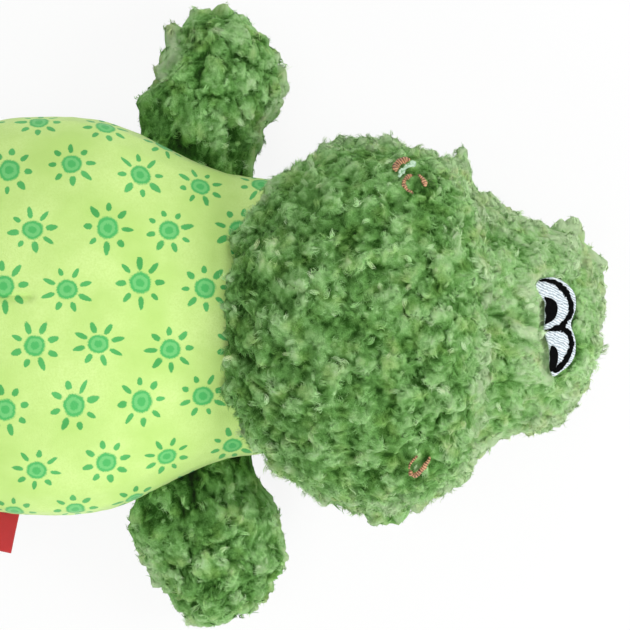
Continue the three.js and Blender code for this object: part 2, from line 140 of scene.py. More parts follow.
class Nodes:
    """A node tree, with short calls for the nodes that it needs."""

    def __init__(self, tree):
        self.tree = tree

    def fill(self, node, inputs):
        """Sets a node's inputs, or links them to what other nodes give."""
        for key, value in inputs.items():
            if isinstance(value, Value):
                self.tree.links.new(value.socket, node.inputs[key])
            else:
                node.inputs[key].default_value = value

    def give(self, kind, inputs=None, output=0, **settings):
        """What a new node gives."""
        made = self.tree.nodes.new(kind)
        for key, value in settings.items():
            setattr(made, key, value)
        self.fill(made, inputs or {})
        return Value(self, made.outputs[output])

    def math(self, operation, a, b=0.0):
        return self.give("ShaderNodeMath", {0: a, 1: b}, operation=operation)

    def attribute(self, name):
        return self.give("ShaderNodeAttribute", output="Fac", attribute_name=name)

    def position(self):
        return self.give("ShaderNodeTexCoord", output="Object")

    def axis(self, vector, number):
        return self.give("ShaderNodeSeparateXYZ", {0: vector}, number)

    def chances(self, *cell):
        """Three chances for each cell, which two or three whole numbers name."""
        place = self.give("ShaderNodeCombineXYZ", dict(enumerate(cell)))
        kind = f"{len(cell)}D"
        colour = self.give("ShaderNodeTexWhiteNoise", {"Vector": place}, "Color", noise_dimensions=kind)
        return [self.axis(colour, number) for number in range(3)]

    def noise(self, scale, detail=2.0, distortion=0.0, roughness=0.5):
        inputs = {"Scale": scale, "Detail": detail, "Distortion": distortion, "Roughness": roughness}
        return self.give("ShaderNodeTexNoise", {"Vector": self.position(), **inputs}, "Fac")

    def wave(self, along, pitch):
        """A wave from 0 to 1 that repeats every pitch."""
        return self.math("SINE", along * (2 * math.pi / pitch)) * 0.5 + 0.5

    def ramp(self, value, stops):
        made = self.give("ShaderNodeValToRGB", {0: value}, "Color")
        elements = made.socket.node.color_ramp.elements
        while len(elements) < len(stops):
            elements.new(0.5)
        for element, (place, colour) in zip(elements, stops):
            element.position = place
            element.color = colour
        return made

    def mix(self, factor, a, b, blend="MIX"):
        return self.give("ShaderNodeMix", {0: factor, 6: a, 7: b}, 2, data_type="RGBA", blend_type=blend)

    def range(self, value, low, high, to_low=0.0, to_high=1.0, kind="LINEAR"):
        inputs = dict(enumerate((value, low, high, to_low, to_high)))
        return self.give("ShaderNodeMapRange", inputs, interpolation_type=kind)

    def fade(self, value, low, high):
        """1 up to low, 0 from high on, and a smooth step between them."""
        return self.range(value, low, high, 1.0, 0.0, "SMOOTHSTEP")


class Material(Nodes):
    """A new material's nodes."""

    def __init__(self, name, roughness, sheen=0.0, sheen_roughness=0.5, tint=WHITE, gloss=0.5):
        self.material = bpy.data.materials.new(name)
        self.material.use_nodes = True
        super().__init__(self.material.node_tree)
        self.shader = self.tree.nodes["Principled BSDF"]
        self.fill(self.shader, {
            "Roughness": roughness,
            "Sheen Weight": sheen,
            "Sheen Roughness": sheen_roughness,
            "Sheen Tint": tint,
            "Specular IOR Level": gloss,
        })

    def bump(self, height, distance, strength=1.0):
        inputs = {"Strength": strength, "Distance": distance, "Height": height}
        self.fill(self.shader, {"Normal": self.give("ShaderNodeBump", inputs)})

    def colour(self, value):
        self.fill(self.shader, {"Base Color": value})
        return self.material


# The pile's colour ramp is painted shading: painted shade, near black, in the crevices, and painted light, near
# white, on the lumps' tops.
PILE_PAINTED_SHADING = [  # from the bottom of a crevice to the top of a lump
    (0.0, srgb(8, 26, 2)),
    (0.24, srgb(52, 102, 30)),
    (0.48, srgb(130, 190, 102)),
    (0.70, srgb(186, 236, 160)),
    (1.0, srgb(224, 250, 202)),
]
PILE_LOOK = {"sheen": 0.2, "sheen_roughness": 0.4, "tint": srgb(150, 205, 110), "gloss": 0.15}


def pile_tint(n, tone):
    """A tint that makes fibres and patches differ a little, some of them yellower."""
    pale = n.mix(n.range(tone * 0.6 + n.noise(55) * 0.4, 0.2, 0.8), srgb(214, 222, 206), WHITE)
    return n.mix(n.range(n.noise(140, 1), 0.5, 0.75), pale, srgb(255, 246, 224), "MULTIPLY")


def pile_material():
    """Long curly pile: painted shade at the roots and in the crevices, painted light at the tips, with a random
    tint.
    """
    n = Material("pile_cloth", 0.9, **PILE_LOOK)
    shades = n.ramp(n.attribute("tip"), PILE_PAINTED_SHADING)
    return n.colour(n.mix(1.0, shades, pile_tint(n, n.attribute("tone")), "MULTIPLY"))


def matted_material():
    """The same pile where its fibres lie matted, seen between the tufts, with painted shade in its crevices and
    painted light on its lumps.
    """
    n = Material("matted_pile", 0.95, **PILE_LOOK)
    fibres = n.noise(900, 4, distortion=2.5, roughness=0.7)
    n.bump(fibres, 1 * MM)
    shades = n.ramp(n.attribute("tip") + (fibres - 0.5) * 0.6, PILE_PAINTED_SHADING)
    return n.colour(n.mix(1.0, shades, pile_tint(n, 0.5), "MULTIPLY"))


# The belly's print: suns in columns, each column half a sun further along than its neighbour. Millimetres,
# and shares where a name says so.
SUN_ACROSS = 19.5
SUN_ALONG = 21.5
SUN_JITTER = 1.8
SUN_SQUEEZE_SHARES = (0.88, 1.18)
SUN_DISC = 3.4
SUN_DISC_BLUR = 0.4
SUN_RING = 1.9
SUN_RING_WIDTHS = (0.3, 0.8)
SUN_RAYS = 8
RAY_MIDDLE = 6.3
RAY_HALF_LENGTH = 1.9
RAY_HALF_WIDTH = 0.95
RAY_LENGTH_SHARES = (0.6, 1.2)
RAY_WIDTH_SHARES = (0.75, 1.15)
RAY_TAPER_SHARE = 0.15


def printed_material():
    """Short even pile with a print of suns, whose ink the pile softens."""
    n = Material("printed_cloth", 0.8, sheen=0.25, sheen_roughness=0.4)
    spread = (n.noise(2200) - 0.5) * 0.9 + (n.noise(420) - 0.5)
    u = n.attribute("print_u") / (SUN_ACROSS * MM)
    column = n.math("FLOOR", u)
    v = n.attribute("print_v") / (SUN_ALONG * MM) + n.math("FLOORED_MODULO", column, 2.0) * 0.5
    row = n.math("FLOOR", v)
    luck_x, luck_y, luck_turn = n.chances(column, row)

    def from_middle(place, size, luck):
        return (n.math("FRACT", place) - 0.5) * size + (luck - 0.5) * (2 * SUN_JITTER)

    x = from_middle(u, SUN_ACROSS, luck_x) * n.range(luck_y, 0, 1, *SUN_SQUEEZE_SHARES)
    y = from_middle(v, SUN_ALONG, luck_y)
    radius = n.math("SQRT", x * x + y * y)
    rays = (n.math("ARCTAN2", y, x) / (2 * math.pi) + luck_turn) * SUN_RAYS
    number = n.math("FLOORED_MODULO", n.math("FLOOR", rays), SUN_RAYS)
    luck_long, luck_wide, _ = n.chances(column, row, number)
    along = (radius - RAY_MIDDLE) / (n.range(luck_long, 0, 1, *RAY_LENGTH_SHARES) * RAY_HALF_LENGTH)
    wide = n.range(luck_wide, 0, 1, *RAY_WIDTH_SHARES) * RAY_HALF_WIDTH
    swing = (n.math("FRACT", rays) - 0.5) * (2 * math.pi / SUN_RAYS)
    across = swing * radius / ((1.0 - along * RAY_TAPER_SHARE) * wide)
    ray = n.fade(along * along + across * across + spread, 0.75, 1.35)
    rough_radius = radius + spread
    disc = n.fade(rough_radius, SUN_DISC - SUN_DISC_BLUR, SUN_DISC + SUN_DISC_BLUR)
    ring = n.fade(n.math("ABSOLUTE", rough_radius - SUN_RING), *SUN_RING_WIDTHS)
    nap_light = n.range(n.noise(50, 3), 0.36, 0.64)
    cloth = n.mix(nap_light, srgb(188, 225, 122), srgb(210, 240, 148))
    cloth = n.mix(n.range(n.noise(1500), 0.35, 0.75, 0.0, 0.6), cloth, srgb(192, 226, 124))
    ink = n.mix(nap_light, srgb(34, 158, 72), srgb(62, 180, 92))
    inked = n.mix(ray * 0.92, cloth, ink)
    sun = n.mix(ring * 0.5, srgb(60, 180, 92), srgb(134, 216, 134))
    n.bump(n.noise(2600) + n.noise(240, 3) * 1.5, 0.2 * MM, 0.6)
    return n.colour(n.mix(disc * 0.95, inked, sun))


def thread_material(name, dark, light, pitch, roughness, gloss):
    """Satin stitch: fine parallel threads across the line that they make, coloured from painted shade between
    the threads to a painted highlight on their crests, with a random mottle.
    """
    n = Material(name, roughness, gloss=gloss)
    threads = n.wave(n.attribute("along") + n.noise(900) * (0.7 * pitch), pitch)
    n.bump(threads, 0.25 * MM, 0.7)
    shade = threads * 0.6 + n.range(n.noise(700, 3), 0.3, 0.7, 0.0, 0.45)
    return n.colour(n.ramp(shade, [(0.1, dark), (0.9, light)]))


def patch_material():
    """White embroidery thread in fine slanting rows, with painted grey shade between the rows and a random
    mottle.
    """
    n = Material("white_thread", 0.55, sheen=0.1)
    place = n.position()
    slant = n.axis(place, 0) * 0.42 + n.axis(place, 1) * 0.91
    rows = n.wave(slant + n.noise(500, 3) * (1.6 * MM), 0.8 * MM)
    broken = rows * 0.6 + n.range(n.noise(1100, 3), 0.3, 0.7, 0.0, 0.4)
    n.bump(broken, 0.2 * MM, 0.8)
    shades = [(0.05, srgb(124, 140, 152)), (0.42, srgb(192, 204, 211)), (0.85, srgb(238, 245, 249))]
    return n.colour(n.ramp(broken, shades))


def backing_material():
    """Pale net behind the stitches, blotched by the pile that comes through."""
    n = Material("stitch_backing", 0.7)
    blots = n.noise(1100, 3, distortion=1.0)
    n.bump(blots, 0.3 * MM, 0.8)
    shades = [(0.36, srgb(112, 158, 108)), (0.5, srgb(176, 208, 178)), (0.64, srgb(206, 230, 206))]
    return n.colour(n.ramp(blots, shades))


def label_material():
    """Red woven ribbon: a fine slanting twill."""
    n = Material("woven_label", 0.6, sheen=0.15)
    u, v = n.attribute("ribbon_u"), n.attribute("ribbon_v")
    weave = n.wave(u + v, 0.55 * MM) * 0.7 + n.wave(u, 0.42 * MM) * 0.3
    n.bump(weave, 0.15 * MM, 0.7)
    worn = n.mix(n.noise(160, 3), srgb(176, 12, 16), srgb(206, 26, 28))
    return n.colour(n.mix(n.range(weave, 0.15, 0.75), n.mix(0.5, worn, srgb(138, 4, 6)), worn))


def fibre_fill_material():
    n = Material("fibre_fill", 0.95, sheen=0.3)
    strands = n.noise(420, 4, distortion=2.5)
    n.bump(strands, 2 * MM, 0.9)
    return n.colour(n.ramp(strands, [(0.3, srgb(214, 212, 204)), (0.7, srgb(246, 245, 240))]))


def moulded_material(name, colour, dark, roughness, transmission):
    """Moulded plastic with a faint mottle and a fine skin."""
    n = Material(name, roughness)
    n.fill(n.shader, {"Transmission Weight": transmission})
    n.bump(n.noise(900, 3), 0.1 * MM, 0.4)
    return n.colour(n.mix(n.range(n.noise(120, 3), 0.35, 0.7), colour, dark))


# Skins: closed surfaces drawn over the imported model's panels

def triangle_facts(points, faces):
    """Smooth normals at the points, and the triangles' areas."""
    a, b, c = (points[faces[:, k]] for k in range(3))
    flat = np.cross(b - a, c - a)
    normals = np.zeros_like(points)
    for k in range(3):
        np.add.at(normals, faces[:, k], flat)
    return unit(normals), np.linalg.norm(flat, axis=1) / 2


def sides_of(faces):
    """Each triangle's three sides as pairs of points: all first sides, then all second and third ones."""
    return np.sort(np.concatenate([faces[:, [0, 1]], faces[:, [1, 2]], faces[:, [2, 0]]]), axis=1)


def edges_of(faces):
    return np.unique(sides_of(faces), axis=0)


def smooth(points, edges, turns, share=0.5, held=None):
    """Moves each point, apart from the held ones, towards the mean of its neighbours."""
    count = np.bincount(edges.ravel(), minlength=len(points))[:, None]
    for _ in range(turns):
        total = np.zeros_like(points)
        np.add.at(total, edges[:, 0], points[edges[:, 1]])
        np.add.at(total, edges[:, 1], points[edges[:, 0]])
        moved = points + share * (total / count - points)
        points = moved if held is None else np.where(held[:, None], points, moved)
    return points


def bridge(values, edges, span):
    """Values at points, with the narrow dips filled: raised to the neighbours' highest, then lowered back."""
    for sign in (1, -1):
        for _ in range(span):
            spread = sign * values
            moved = spread.copy()
            np.maximum.at(moved, edges[:, 0], spread[edges[:, 1]])
            np.maximum.at(moved, edges[:, 1], spread[edges[:, 0]])
            values = sign * moved
    return values


def tree_of(points, faces):
    return BVHTree.FromPolygons([Vector(p) for p in points], faces.tolist())


def arrays_of(bm):
    """A mesh in work as arrays of its points and triangles. It is freed."""
    bm.verts.index_update()
    points = np.array([v.co[:] for v in bm.verts])
    faces = np.array([[v.index for v in f.verts] for f in bm.faces])
    bm.free()
    return points, faces

class Skin:
    """A form's outer surface: points, triangles and normals."""

    def __init__(self, names, level, turns):
        vertices, faces = [], []
        for name in names:
            mesh = frame["nodes"][name].data
            start = len(vertices)
            vertices.extend(v.co.copy() for v in mesh.vertices)
            faces.extend([start + i for i in p.vertices] for p in mesh.polygons)
        tree = BVHTree.FromPolygons(vertices, faces)
        cloud = np.array([tuple(v) for v in vertices])
        low, high = cloud.min(0), cloud.max(0)
        centre, half = (low + high) / 2, (high - low) / 2
        bm = bmesh.new()
        bmesh.ops.create_icosphere(bm, subdivisions=level, radius=1.0)
        ball, self.faces = arrays_of(bm)
        ball = ball * half
        reach = np.zeros(len(ball))
        for i, direction in enumerate(ball):
            away = Vector(direction)
            hit = tree.ray_cast(Vector(centre) + away * 2, -away.normalized())[0]
            if hit is not None:
                reach[i] = (hit - Vector(centre)).dot(away) / away.length_squared
        edges = edges_of(self.faces)
        bridged = bridge(reach, edges, SEAM_BRIDGE)
        reach = np.where(bridged > reach + SLIT_DEPTH, bridged, reach)
        self.points = smooth(centre + ball * reach[:, None], edges, turns)
        self.normals, self.areas = triangle_facts(self.points, self.faces)
        self.tree = tree_of(self.points, self.faces)

    def depth(self, point):
        """How far a point lies inside this form."""
        place, normal, _, _ = self.tree.find_nearest(Vector(point))
        return (place - Vector(point)).dot(normal)

    def thickness(self, point, normal):
        """How thick the form is under a point of its surface."""
        hit = self.tree.ray_cast(Vector(point - normal * MM), Vector(-normal))[0]
        return 0.0 if hit is None else (hit - Vector(point)).length


def fill_mesh(name, points, faces, material, attributes=(), spots=None, normals=None):
    """A new mesh object from arrays, with point attributes and, for spots, a map called OFBake."""
    mesh = bpy.data.meshes.new(name)
    mesh.vertices.add(len(points))
    mesh.vertices.foreach_set("co", np.asarray(points, np.float32).ravel())
    mesh.loops.add(len(faces) * 3)
    mesh.loops.foreach_set("vertex_index", np.asarray(faces, np.int32).ravel())
    mesh.polygons.add(len(faces))
    mesh.polygons.foreach_set("loop_start", np.arange(0, len(faces) * 3, 3, dtype=np.int32))
    mesh.polygons.foreach_set("use_smooth", np.ones(len(faces), bool))
    mesh.update(calc_edges=True)
    for label, values in attributes:
        made = mesh.attributes.new(label, "FLOAT", "POINT")
        made.data.foreach_set("value", np.asarray(values, np.float32))
    if spots is not None:
        layer = mesh.uv_layers.new(name="OFBake", do_init=False)
        layer.uv.foreach_set("vector", np.asarray(spots, np.float32)[np.asarray(faces).ravel()].ravel())
    if normals is not None:
        mesh.normals_split_custom_set_from_vertices(normals.tolist())
    mesh.materials.append(material)
    made = bpy.data.objects.new(name, mesh)
    bpy.context.scene.collection.objects.link(made)
    return made


def refined(points, faces):
    """Each triangle as four. Points may have more columns than three."""
    edges, place = np.unique(sides_of(faces), axis=0, return_inverse=True)
    ab, bc, ca = len(points) + place.reshape(3, -1)
    a, b, c = faces.T
    parts = ((a, ab, ca), (b, bc, ab), (c, ca, bc), (ab, bc, ca))
    fine = np.concatenate([np.stack(part, 1) for part in parts])
    return np.vstack([points, points[edges].mean(1)]), fine


def ring_faces(rings, around):
    """Triangles between rings of points, each ring with so many points around."""
    ring, place = np.divmod(np.arange((rings - 1) * around), around)
    a, b = ring * around + place, ring * around + (place + 1) % around
    return np.stack([a, b, a + around, b, b + around, a + around], 1).reshape(-1, 3)


# What is embroidered, drawn by pixels of the photograph on the plane of the node that it stands for

class Plane:
    """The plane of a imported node's upper face."""

    def __init__(self, node):
        mesh = frame["nodes"][node].data
        upper = [p for p in mesh.polygons if p.normal.z > 0.4]
        area = sum(p.area for p in upper)
        self.normal = sum((p.normal * p.area for p in upper), Vector()).normalized()
        self.origin = sum((p.center * p.area for p in upper), Vector()) / area
        self.x = (Vector((1, 0, 0)) - self.normal.x * self.normal).normalized()
        self.y = self.normal.cross(self.x)
        self.axes = np.array([self.x, self.y, self.normal])

    def flat(self, px, py):
        """The place on the plane that a pixel of the photograph shows."""
        aim = Vector(((px - ORIGIN_PX[0]) * MM_PER_PX * MM, (ORIGIN_PX[1] - py) * MM_PER_PX * MM, OUTLINE_Z))
        away = intersect_line_plane(CAMERA, aim, self.origin, self.normal) - self.origin
        return away.dot(self.x), away.dot(self.y)

    def lift(self, places):
        """Points in space from places on the plane and heights over it."""
        return np.array(self.origin) + places @ self.axes

    def lay(self, points):
        """Places on the plane and heights over it from points in space."""
        return (points - np.array(self.origin)) @ self.axes.T


def curve_through(given, closed=False, steps=8):
    """A smooth line through some points, of any number of columns."""
    given = np.array(given, float)
    if closed:
        given = np.vstack([given[-1], given, given[:2]])
    else:
        given = np.vstack([2 * given[0] - given[1], given, 2 * given[-1] - given[-2]])
    t = np.linspace(0, 1, steps, endpoint=False)[:, None]
    parts = []
    for a, b, c, d in zip(given, given[1:], given[2:], given[3:]):
        bend = (2 * a - 5 * b + 4 * c - d) * t ** 2 + (3 * b - a - 3 * c + d) * t ** 3
        parts.append(0.5 * (2 * b + (c - a) * t + bend))
    made = np.vstack(parts)
    return made if closed else np.vstack([made, given[-2]])


def stretch_to(line, closed, places):
    """How far each place is from a line on a plane, or from the shape inside it where it is closed."""
    start = line if closed else line[:-1]
    end = np.roll(line, -1, axis=0) if closed else line[1:]
    along = end - start
    nearest = np.full(len(places), np.inf)
    inside = np.zeros(len(places), bool)
    for a, b, way in zip(start, end, along):
        share = np.clip(((places - a) @ way) / max(way @ way, 1e-18), 0, 1)
        nearest = np.minimum(nearest, np.linalg.norm(places - a - share[:, None] * way, axis=1))
        if closed:
            crosses = (a[1] > places[:, 1]) != (b[1] > places[:, 1])
            at = a[0] + (places[:, 1] - a[1]) * way[0] / (way[1] or 1e-18)
            inside ^= crosses & (places[:, 0] < at)
    return np.where(inside, 0.0, nearest)


DRAWN_REACH = 12 * MM  # from the plane that something is drawn on


def reach_to(plane, lines, closed, points):
    """How far points are from what is drawn on a plane. Points far off the plane count as far away."""
    laid = plane.lay(points)
    nearest = np.min([stretch_to(line[:, :2], closed, laid[:, :2]) for line in lines], axis=0)
    return np.where(np.abs(laid[:, 2]) < DRAWN_REACH, nearest, 1.0)


SATIN_ARC = 9  # points across a satin line
SATIN_RAGGED = 0.16  # how unevenly wide the stitches are, as a share
SATIN_UNDER = 0.3  # of the rise, how far a line's underside lies below the plane


def satin(plane, drawn, rise, pitch, ridge, rng):
    """A raised line of satin stitch: points, triangles and how far along it each point is. drawn has rows of
    a pixel's two numbers and the line's width in millimetres."""
    line = curve_through([(*plane.flat(px, py), width * MM) for px, py, width in drawn], steps=12)
    run = np.concatenate([[0], np.cumsum(np.linalg.norm(np.diff(line[:, :2], axis=0), axis=1))])
    steps = max(8, round(run[-1] / (pitch / 5)))
    along = np.linspace(0, run[-1], steps + 1)
    place = np.stack([np.interp(along, run, line[:, k]) for k in range(3)], 1)
    way = unit(np.gradient(place[:, :2], axis=0))
    side = np.stack([-way[:, 1], way[:, 0]], 1)
    stitch = np.floor(along / pitch).astype(int)
    ragged = 1 + SATIN_RAGGED * rng.normal(0, 1, (2, stitch.max() + 1))
    to_end = np.minimum(along, run[-1] - along)
    near_end = np.clip(to_end / (0.5 * place[:, 2].mean()), 0.03, 1)
    round_end = np.sqrt(near_end * (2 - near_end))
    crest = 1 - ridge * np.abs(np.sin(np.pi * along / pitch - math.pi / 2)) ** 3
    points = []
    for j in range(len(along)):
        half = place[j, 2] / 2 * round_end[j]
        for angle in np.linspace(0, math.pi, SATIN_ARC):
            hand = ragged[0 if angle < math.pi / 2 else 1, stitch[j]]
            flat = place[j, :2] + side[j] * math.cos(angle) * half * hand
            points.append((*flat, rise * round_end[j] * crest[j] * math.sin(angle) ** 0.7))
        points.append((*place[j, :2], -SATIN_UNDER * rise))
    ring = SATIN_ARC + 1
    last = (len(along) - 1) * ring
    ends = [((0, k, k + 1), (last, last + k + 1, last + k)) for k in range(1, ring - 1)]
    faces = np.vstack([ring_faces(len(along), ring)[:, [0, 2, 1]], np.reshape(ends, (-1, 3))])
    return plane.lift(np.array(points)), faces, np.repeat(along, ring)


def joined(parts):
    """Several (points, triangles, values) as one."""
    points, faces, values = [], [], []
    start = 0
    for p, f, v in parts:
        points.append(p)
        faces.append(f + start)
        values.append(v)
        start += len(p)
    return np.concatenate(points), np.concatenate(faces), np.concatenate(values)


PAD_RINGS = (  # share of the way out, and share of the rise
    (1.0, -1.0), (1.0, -0.2), (0.995, 0.35), (0.97, 0.75), (0.93, 0.93), (0.85, 1.0), (0.7, 1.06),
    (0.5, 1.1), (0.25, 1.12),
)


def pad(plane, outline, rise, base=0.0):
    """A low pad with rounded edges inside a closed line: points, triangles and a value that runs across."""
    middle = outline.mean(0)
    count = len(outline)
    points = []
    for share, lift in PAD_RINGS:
        flat = middle + (outline - middle) * share
        points.append(np.column_stack([flat, np.full(count, base + rise * lift)]))
    points = np.vstack([*points, [[*middle, base + rise * PAD_RINGS[-1][1]]]])
    last = (len(PAD_RINGS) - 1) * count
    crown = [(last + j, last + (j + 1) % count, len(points) - 1) for j in range(count)]
    faces = np.vstack([ring_faces(len(PAD_RINGS), count), crown])
    return plane.lift(points), faces, points[:, 1] + 0.3 * points[:, 0]


PATCH_EDGE = [  # pixels round the white patch
    (534.5, 286.5), (539.7, 279.9), (546.5, 277.8), (553.6, 277.4), (560.0, 279.4), (568.2, 285.2),
    (573.8, 292.2), (575.9, 300.8), (575.4, 309.5), (572.8, 317.2), (570.9, 323.0), (571.8, 329.3),
    (574.4, 336.0), (575.6, 344.2), (575.0, 354.3), (571.6, 362.0), (566.5, 367.6), (561.0, 371.6),
    (556.5, 375.4), (552.5, 375.5), (549.5, 366.0), (549.3, 350.0), (546.0, 338.0), (543.6, 331.0),
    (544.3, 324.0), (544.8, 312.0), (544.3, 300.0), (540.0, 292.5),
]
EYE_LINES = [  # rows of a pixel and the line's width in millimetres
    [(538.7, 280.9, 0.6), (545.6, 280.4, 1.1), (554.6, 282.6, 1.7), (561.2, 287.4, 2.0), (566.6, 294.2, 2.0),
     (569.9, 301.9, 1.8), (570.9, 309.0, 1.8), (569.2, 315.0, 1.7), (564.6, 321.8, 1.7), (560.4, 327.4, 2.5)],
    [(563.0, 328.2, 2.0), (557.0, 327.9, 2.0), (550.5, 329.9, 1.0), (543.7, 331.2, 0.8)],
    [(561.0, 327.6, 2.2), (567.2, 332.0, 1.7), (570.4, 338.6, 1.6), (571.0, 345.4, 1.8), (568.6, 353.2, 1.85),
     (564.4, 361.2, 1.9), (559.0, 367.4, 1.95), (552.4, 371.6, 1.5)],
]
PUPIL_EDGES = {
    "pupil_right": [
        (543.9, 297.2), (549.6, 297.9), (553.6, 300.0), (556.3, 303.6), (557.2, 308.6), (556.0, 315.0),
        (553.0, 319.8), (549.0, 322.4), (544.6, 324.0), (545.6, 316.0), (544.6, 310.0), (545.6, 303.0),
    ],
    "pupil_left": [
        (551.0, 345.7), (555.2, 347.4), (557.3, 352.4), (557.5, 358.6), (556.4, 364.4), (553.8, 369.2),
        (550.4, 371.6), (549.0, 366.0), (549.6, 359.0), (549.4, 352.0),
    ],
}
NOSTRIL_LINES = {
    "nostril_right": [
        [(396.0, 171.6, 1.7), (395.8, 166.4, 2.3), (400.6, 162.0, 2.3), (405.4, 159.8, 1.9),
         (410.2, 159.6, 1.0)],
        [(412.8, 175.6, 0.9), (408.6, 176.4, 1.5), (404.6, 179.6, 1.3), (403.8, 184.4, 1.4),
         (406.4, 189.6, 1.3), (410.6, 193.0, 1.7), (414.2, 194.6, 1.3)],
        [(417.8, 174.6, 0.7), (421.6, 177.8, 1.2), (424.8, 183.0, 1.6), (425.6, 186.6, 1.1)],
    ],
    "nostril_left": [
        [(409.4, 470.2, 1.1), (411.6, 474.4, 1.6), (416.4, 474.8, 1.7), (421.6, 469.6, 1.6),
         (426.0, 463.8, 1.4), (430.0, 456.8, 0.9)],
        [(408.8, 469.4, 0.6), (409.6, 464.8, 0.7), (412.8, 460.2, 0.8), (417.6, 455.8, 0.8)],
    ],
}
NOSTRIL_BACKING = [  # pixels round the pale backing that shows inside the right nostril's outer line
    (398.4, 171.6), (400.6, 168.6), (403.0, 168.0), (405.4, 164.8), (409.2, 162.8), (411.6, 160.6),
    (415.4, 161.4), (416.2, 164.6), (414.0, 166.8), (410.6, 166.2), (408.4, 167.4), (405.0, 170.2),
    (404.6, 173.4), (401.8, 174.2), (400.8, 176.8), (398.0, 176.4), (398.8, 173.6),
]


class Drawn:
    """Everything embroidered, laid out before the pile, which keeps clear of it."""

    def __init__(self):
        self.eyes = Plane("eye_patch")
        self.patch = curve_through([self.eyes.flat(*px) for px in PATCH_EDGE], closed=True, steps=6)
        self.nostrils = {}
        for name, lines in NOSTRIL_LINES.items():
            plane = Plane(name)
            flat = [curve_through([plane.flat(px, py) for px, py, _ in line]) for line in lines]
            self.nostrils[name] = (plane, flat)

    def from_eyes(self, points):
        return reach_to(self.eyes, [self.patch], True, points)

    def from_nostrils(self, points):
        reaches = [reach_to(plane, flat, False, points) for plane, flat in self.nostrils.values()]
        return np.min(reaches, axis=0)


# Pile: curled tufts, each a bundle of fine flat fibres, on a matted base that rises in lumps

LUMPS = (  # from big to small. size, rise, over and warp are in millimetres, and the others are shares:
    # over is how far the top leans over, edge is how much of a lump is slope, warp is how crooked it is,
    # pale is painted light on a lump's high side and rim, leaving painted shade in its crevices, and luck is
    # how much a random tone makes it paler
    {"size": 9.0, "rise": 4.2, "over": 2.4, "edge": 0.42, "warp": 3.6, "pale": 0.45, "luck": 0.10},
    {"size": 4.2, "rise": 2.6, "over": 1.1, "edge": 0.55, "warp": 2.0, "pale": 0.40, "luck": 0.10},
    {"size": 1.7, "rise": 0.9, "over": 0.4, "edge": 0.8, "warp": 0.8, "pale": 0.20, "luck": 0.06},
)
LUMPS_SOFTENED = 0.35
LUMPS_UNEVEN = 1.9 * MM  # how much whole patches of pile stand out or lie low
PATCH_SIZES = (9 * MM, 13 * MM)  # of pile without deep crevices, and of pile that stands out
HEAD_GRAIN = 0.8  # how big the head's lumps are, and below it the limbs'
LIMB_GRAIN = 1.15
PUFF_INSET = 4.9 * MM  # of the base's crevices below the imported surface
BASE_LOWEST = 0.2 * MM
ROOT_DEPTH = 0.5 * MM  # of a tuft's root below the lumps
ROOT_LOWEST = 1.6 * MM  # tufts grow from where the base rises more than this
FIBRE_STEPS = 3
FACE_TUFTS = {"kinds": 48, "fibres": 18, "thin": (0.05, 0.10), "spacing": 1.35}
BACK_TUFTS = {"kinds": 24, "fibres": 12, "thin": (0.12, 0.24), "spacing": 3.0}
# the last entry of each is painted light added along its fibres: a wisp's fringe is painted paler, as if lit
# through
TUFT = {"length": (1.4, 3.0), "fat": (0.8, 1.4), "start": (20, 60), "stray": 0.6, "painted_shading": 0.0}
WISP = {"length": (3.0, 4.6), "fat": (0.7, 1.1), "start": (0, 30), "stray": 0.25, "painted_shading": 0.8}
WISP_EVERY = 16  # one kind in so many is a long thin wisp
TUFT_SWINGS = ((50, 110), (-30, 30), (-140, 140))  # degrees: its bend, the way it leaves, and its curl
TUFT_FINE = 24  # steps along a tuft's middle line
TUFT_SIZES = (0.8, 1.15)
TUFTS_DRIFT = 12 * MM  # how far apart tufts lean different ways together
FLOOR_CLEARANCE = 0.3 * MM


def chances(cells, seed):
    """Three numbers from 0 to 1 for each row of whole numbers."""
    stir = np.array([[127.1, 311.7, 74.7], [269.5, 183.3, 246.1], [113.5, 271.9, 124.6]])
    return np.mod(np.sin(cells @ stir + seed) * 43758.5453, 1)


def cellular(places, seed):
    """Cells about one across: how far each place is from the nearest middle and the next, the way from the
    nearest, and three chances of that cell's own."""
    floor = np.floor(places)
    first = np.full(len(places), 99.0)
    second = first.copy()
    way, cell = np.zeros_like(places), np.zeros_like(places)
    for step in np.ndindex(3, 3, 3):
        at = floor + np.array(step) - 1
        off = places - at - chances(at, seed)
        span = np.linalg.norm(off, axis=1)
        closer = span < first
        second = np.where(closer, first, np.minimum(second, span))
        first = np.where(closer, span, first)
        way[closer] = off[closer]
        cell[closer] = at[closer]
    return first, second, way, chances(cell, seed + 5)


def drift(points, wavelength, seed):
    """A smooth field of directions in space, one for each point."""
    offset = Vector((seed * 13.7, seed * 5.1, seed * 9.3))
    return np.array([noise.noise_vector(Vector(p) / wavelength + offset) for p in points])


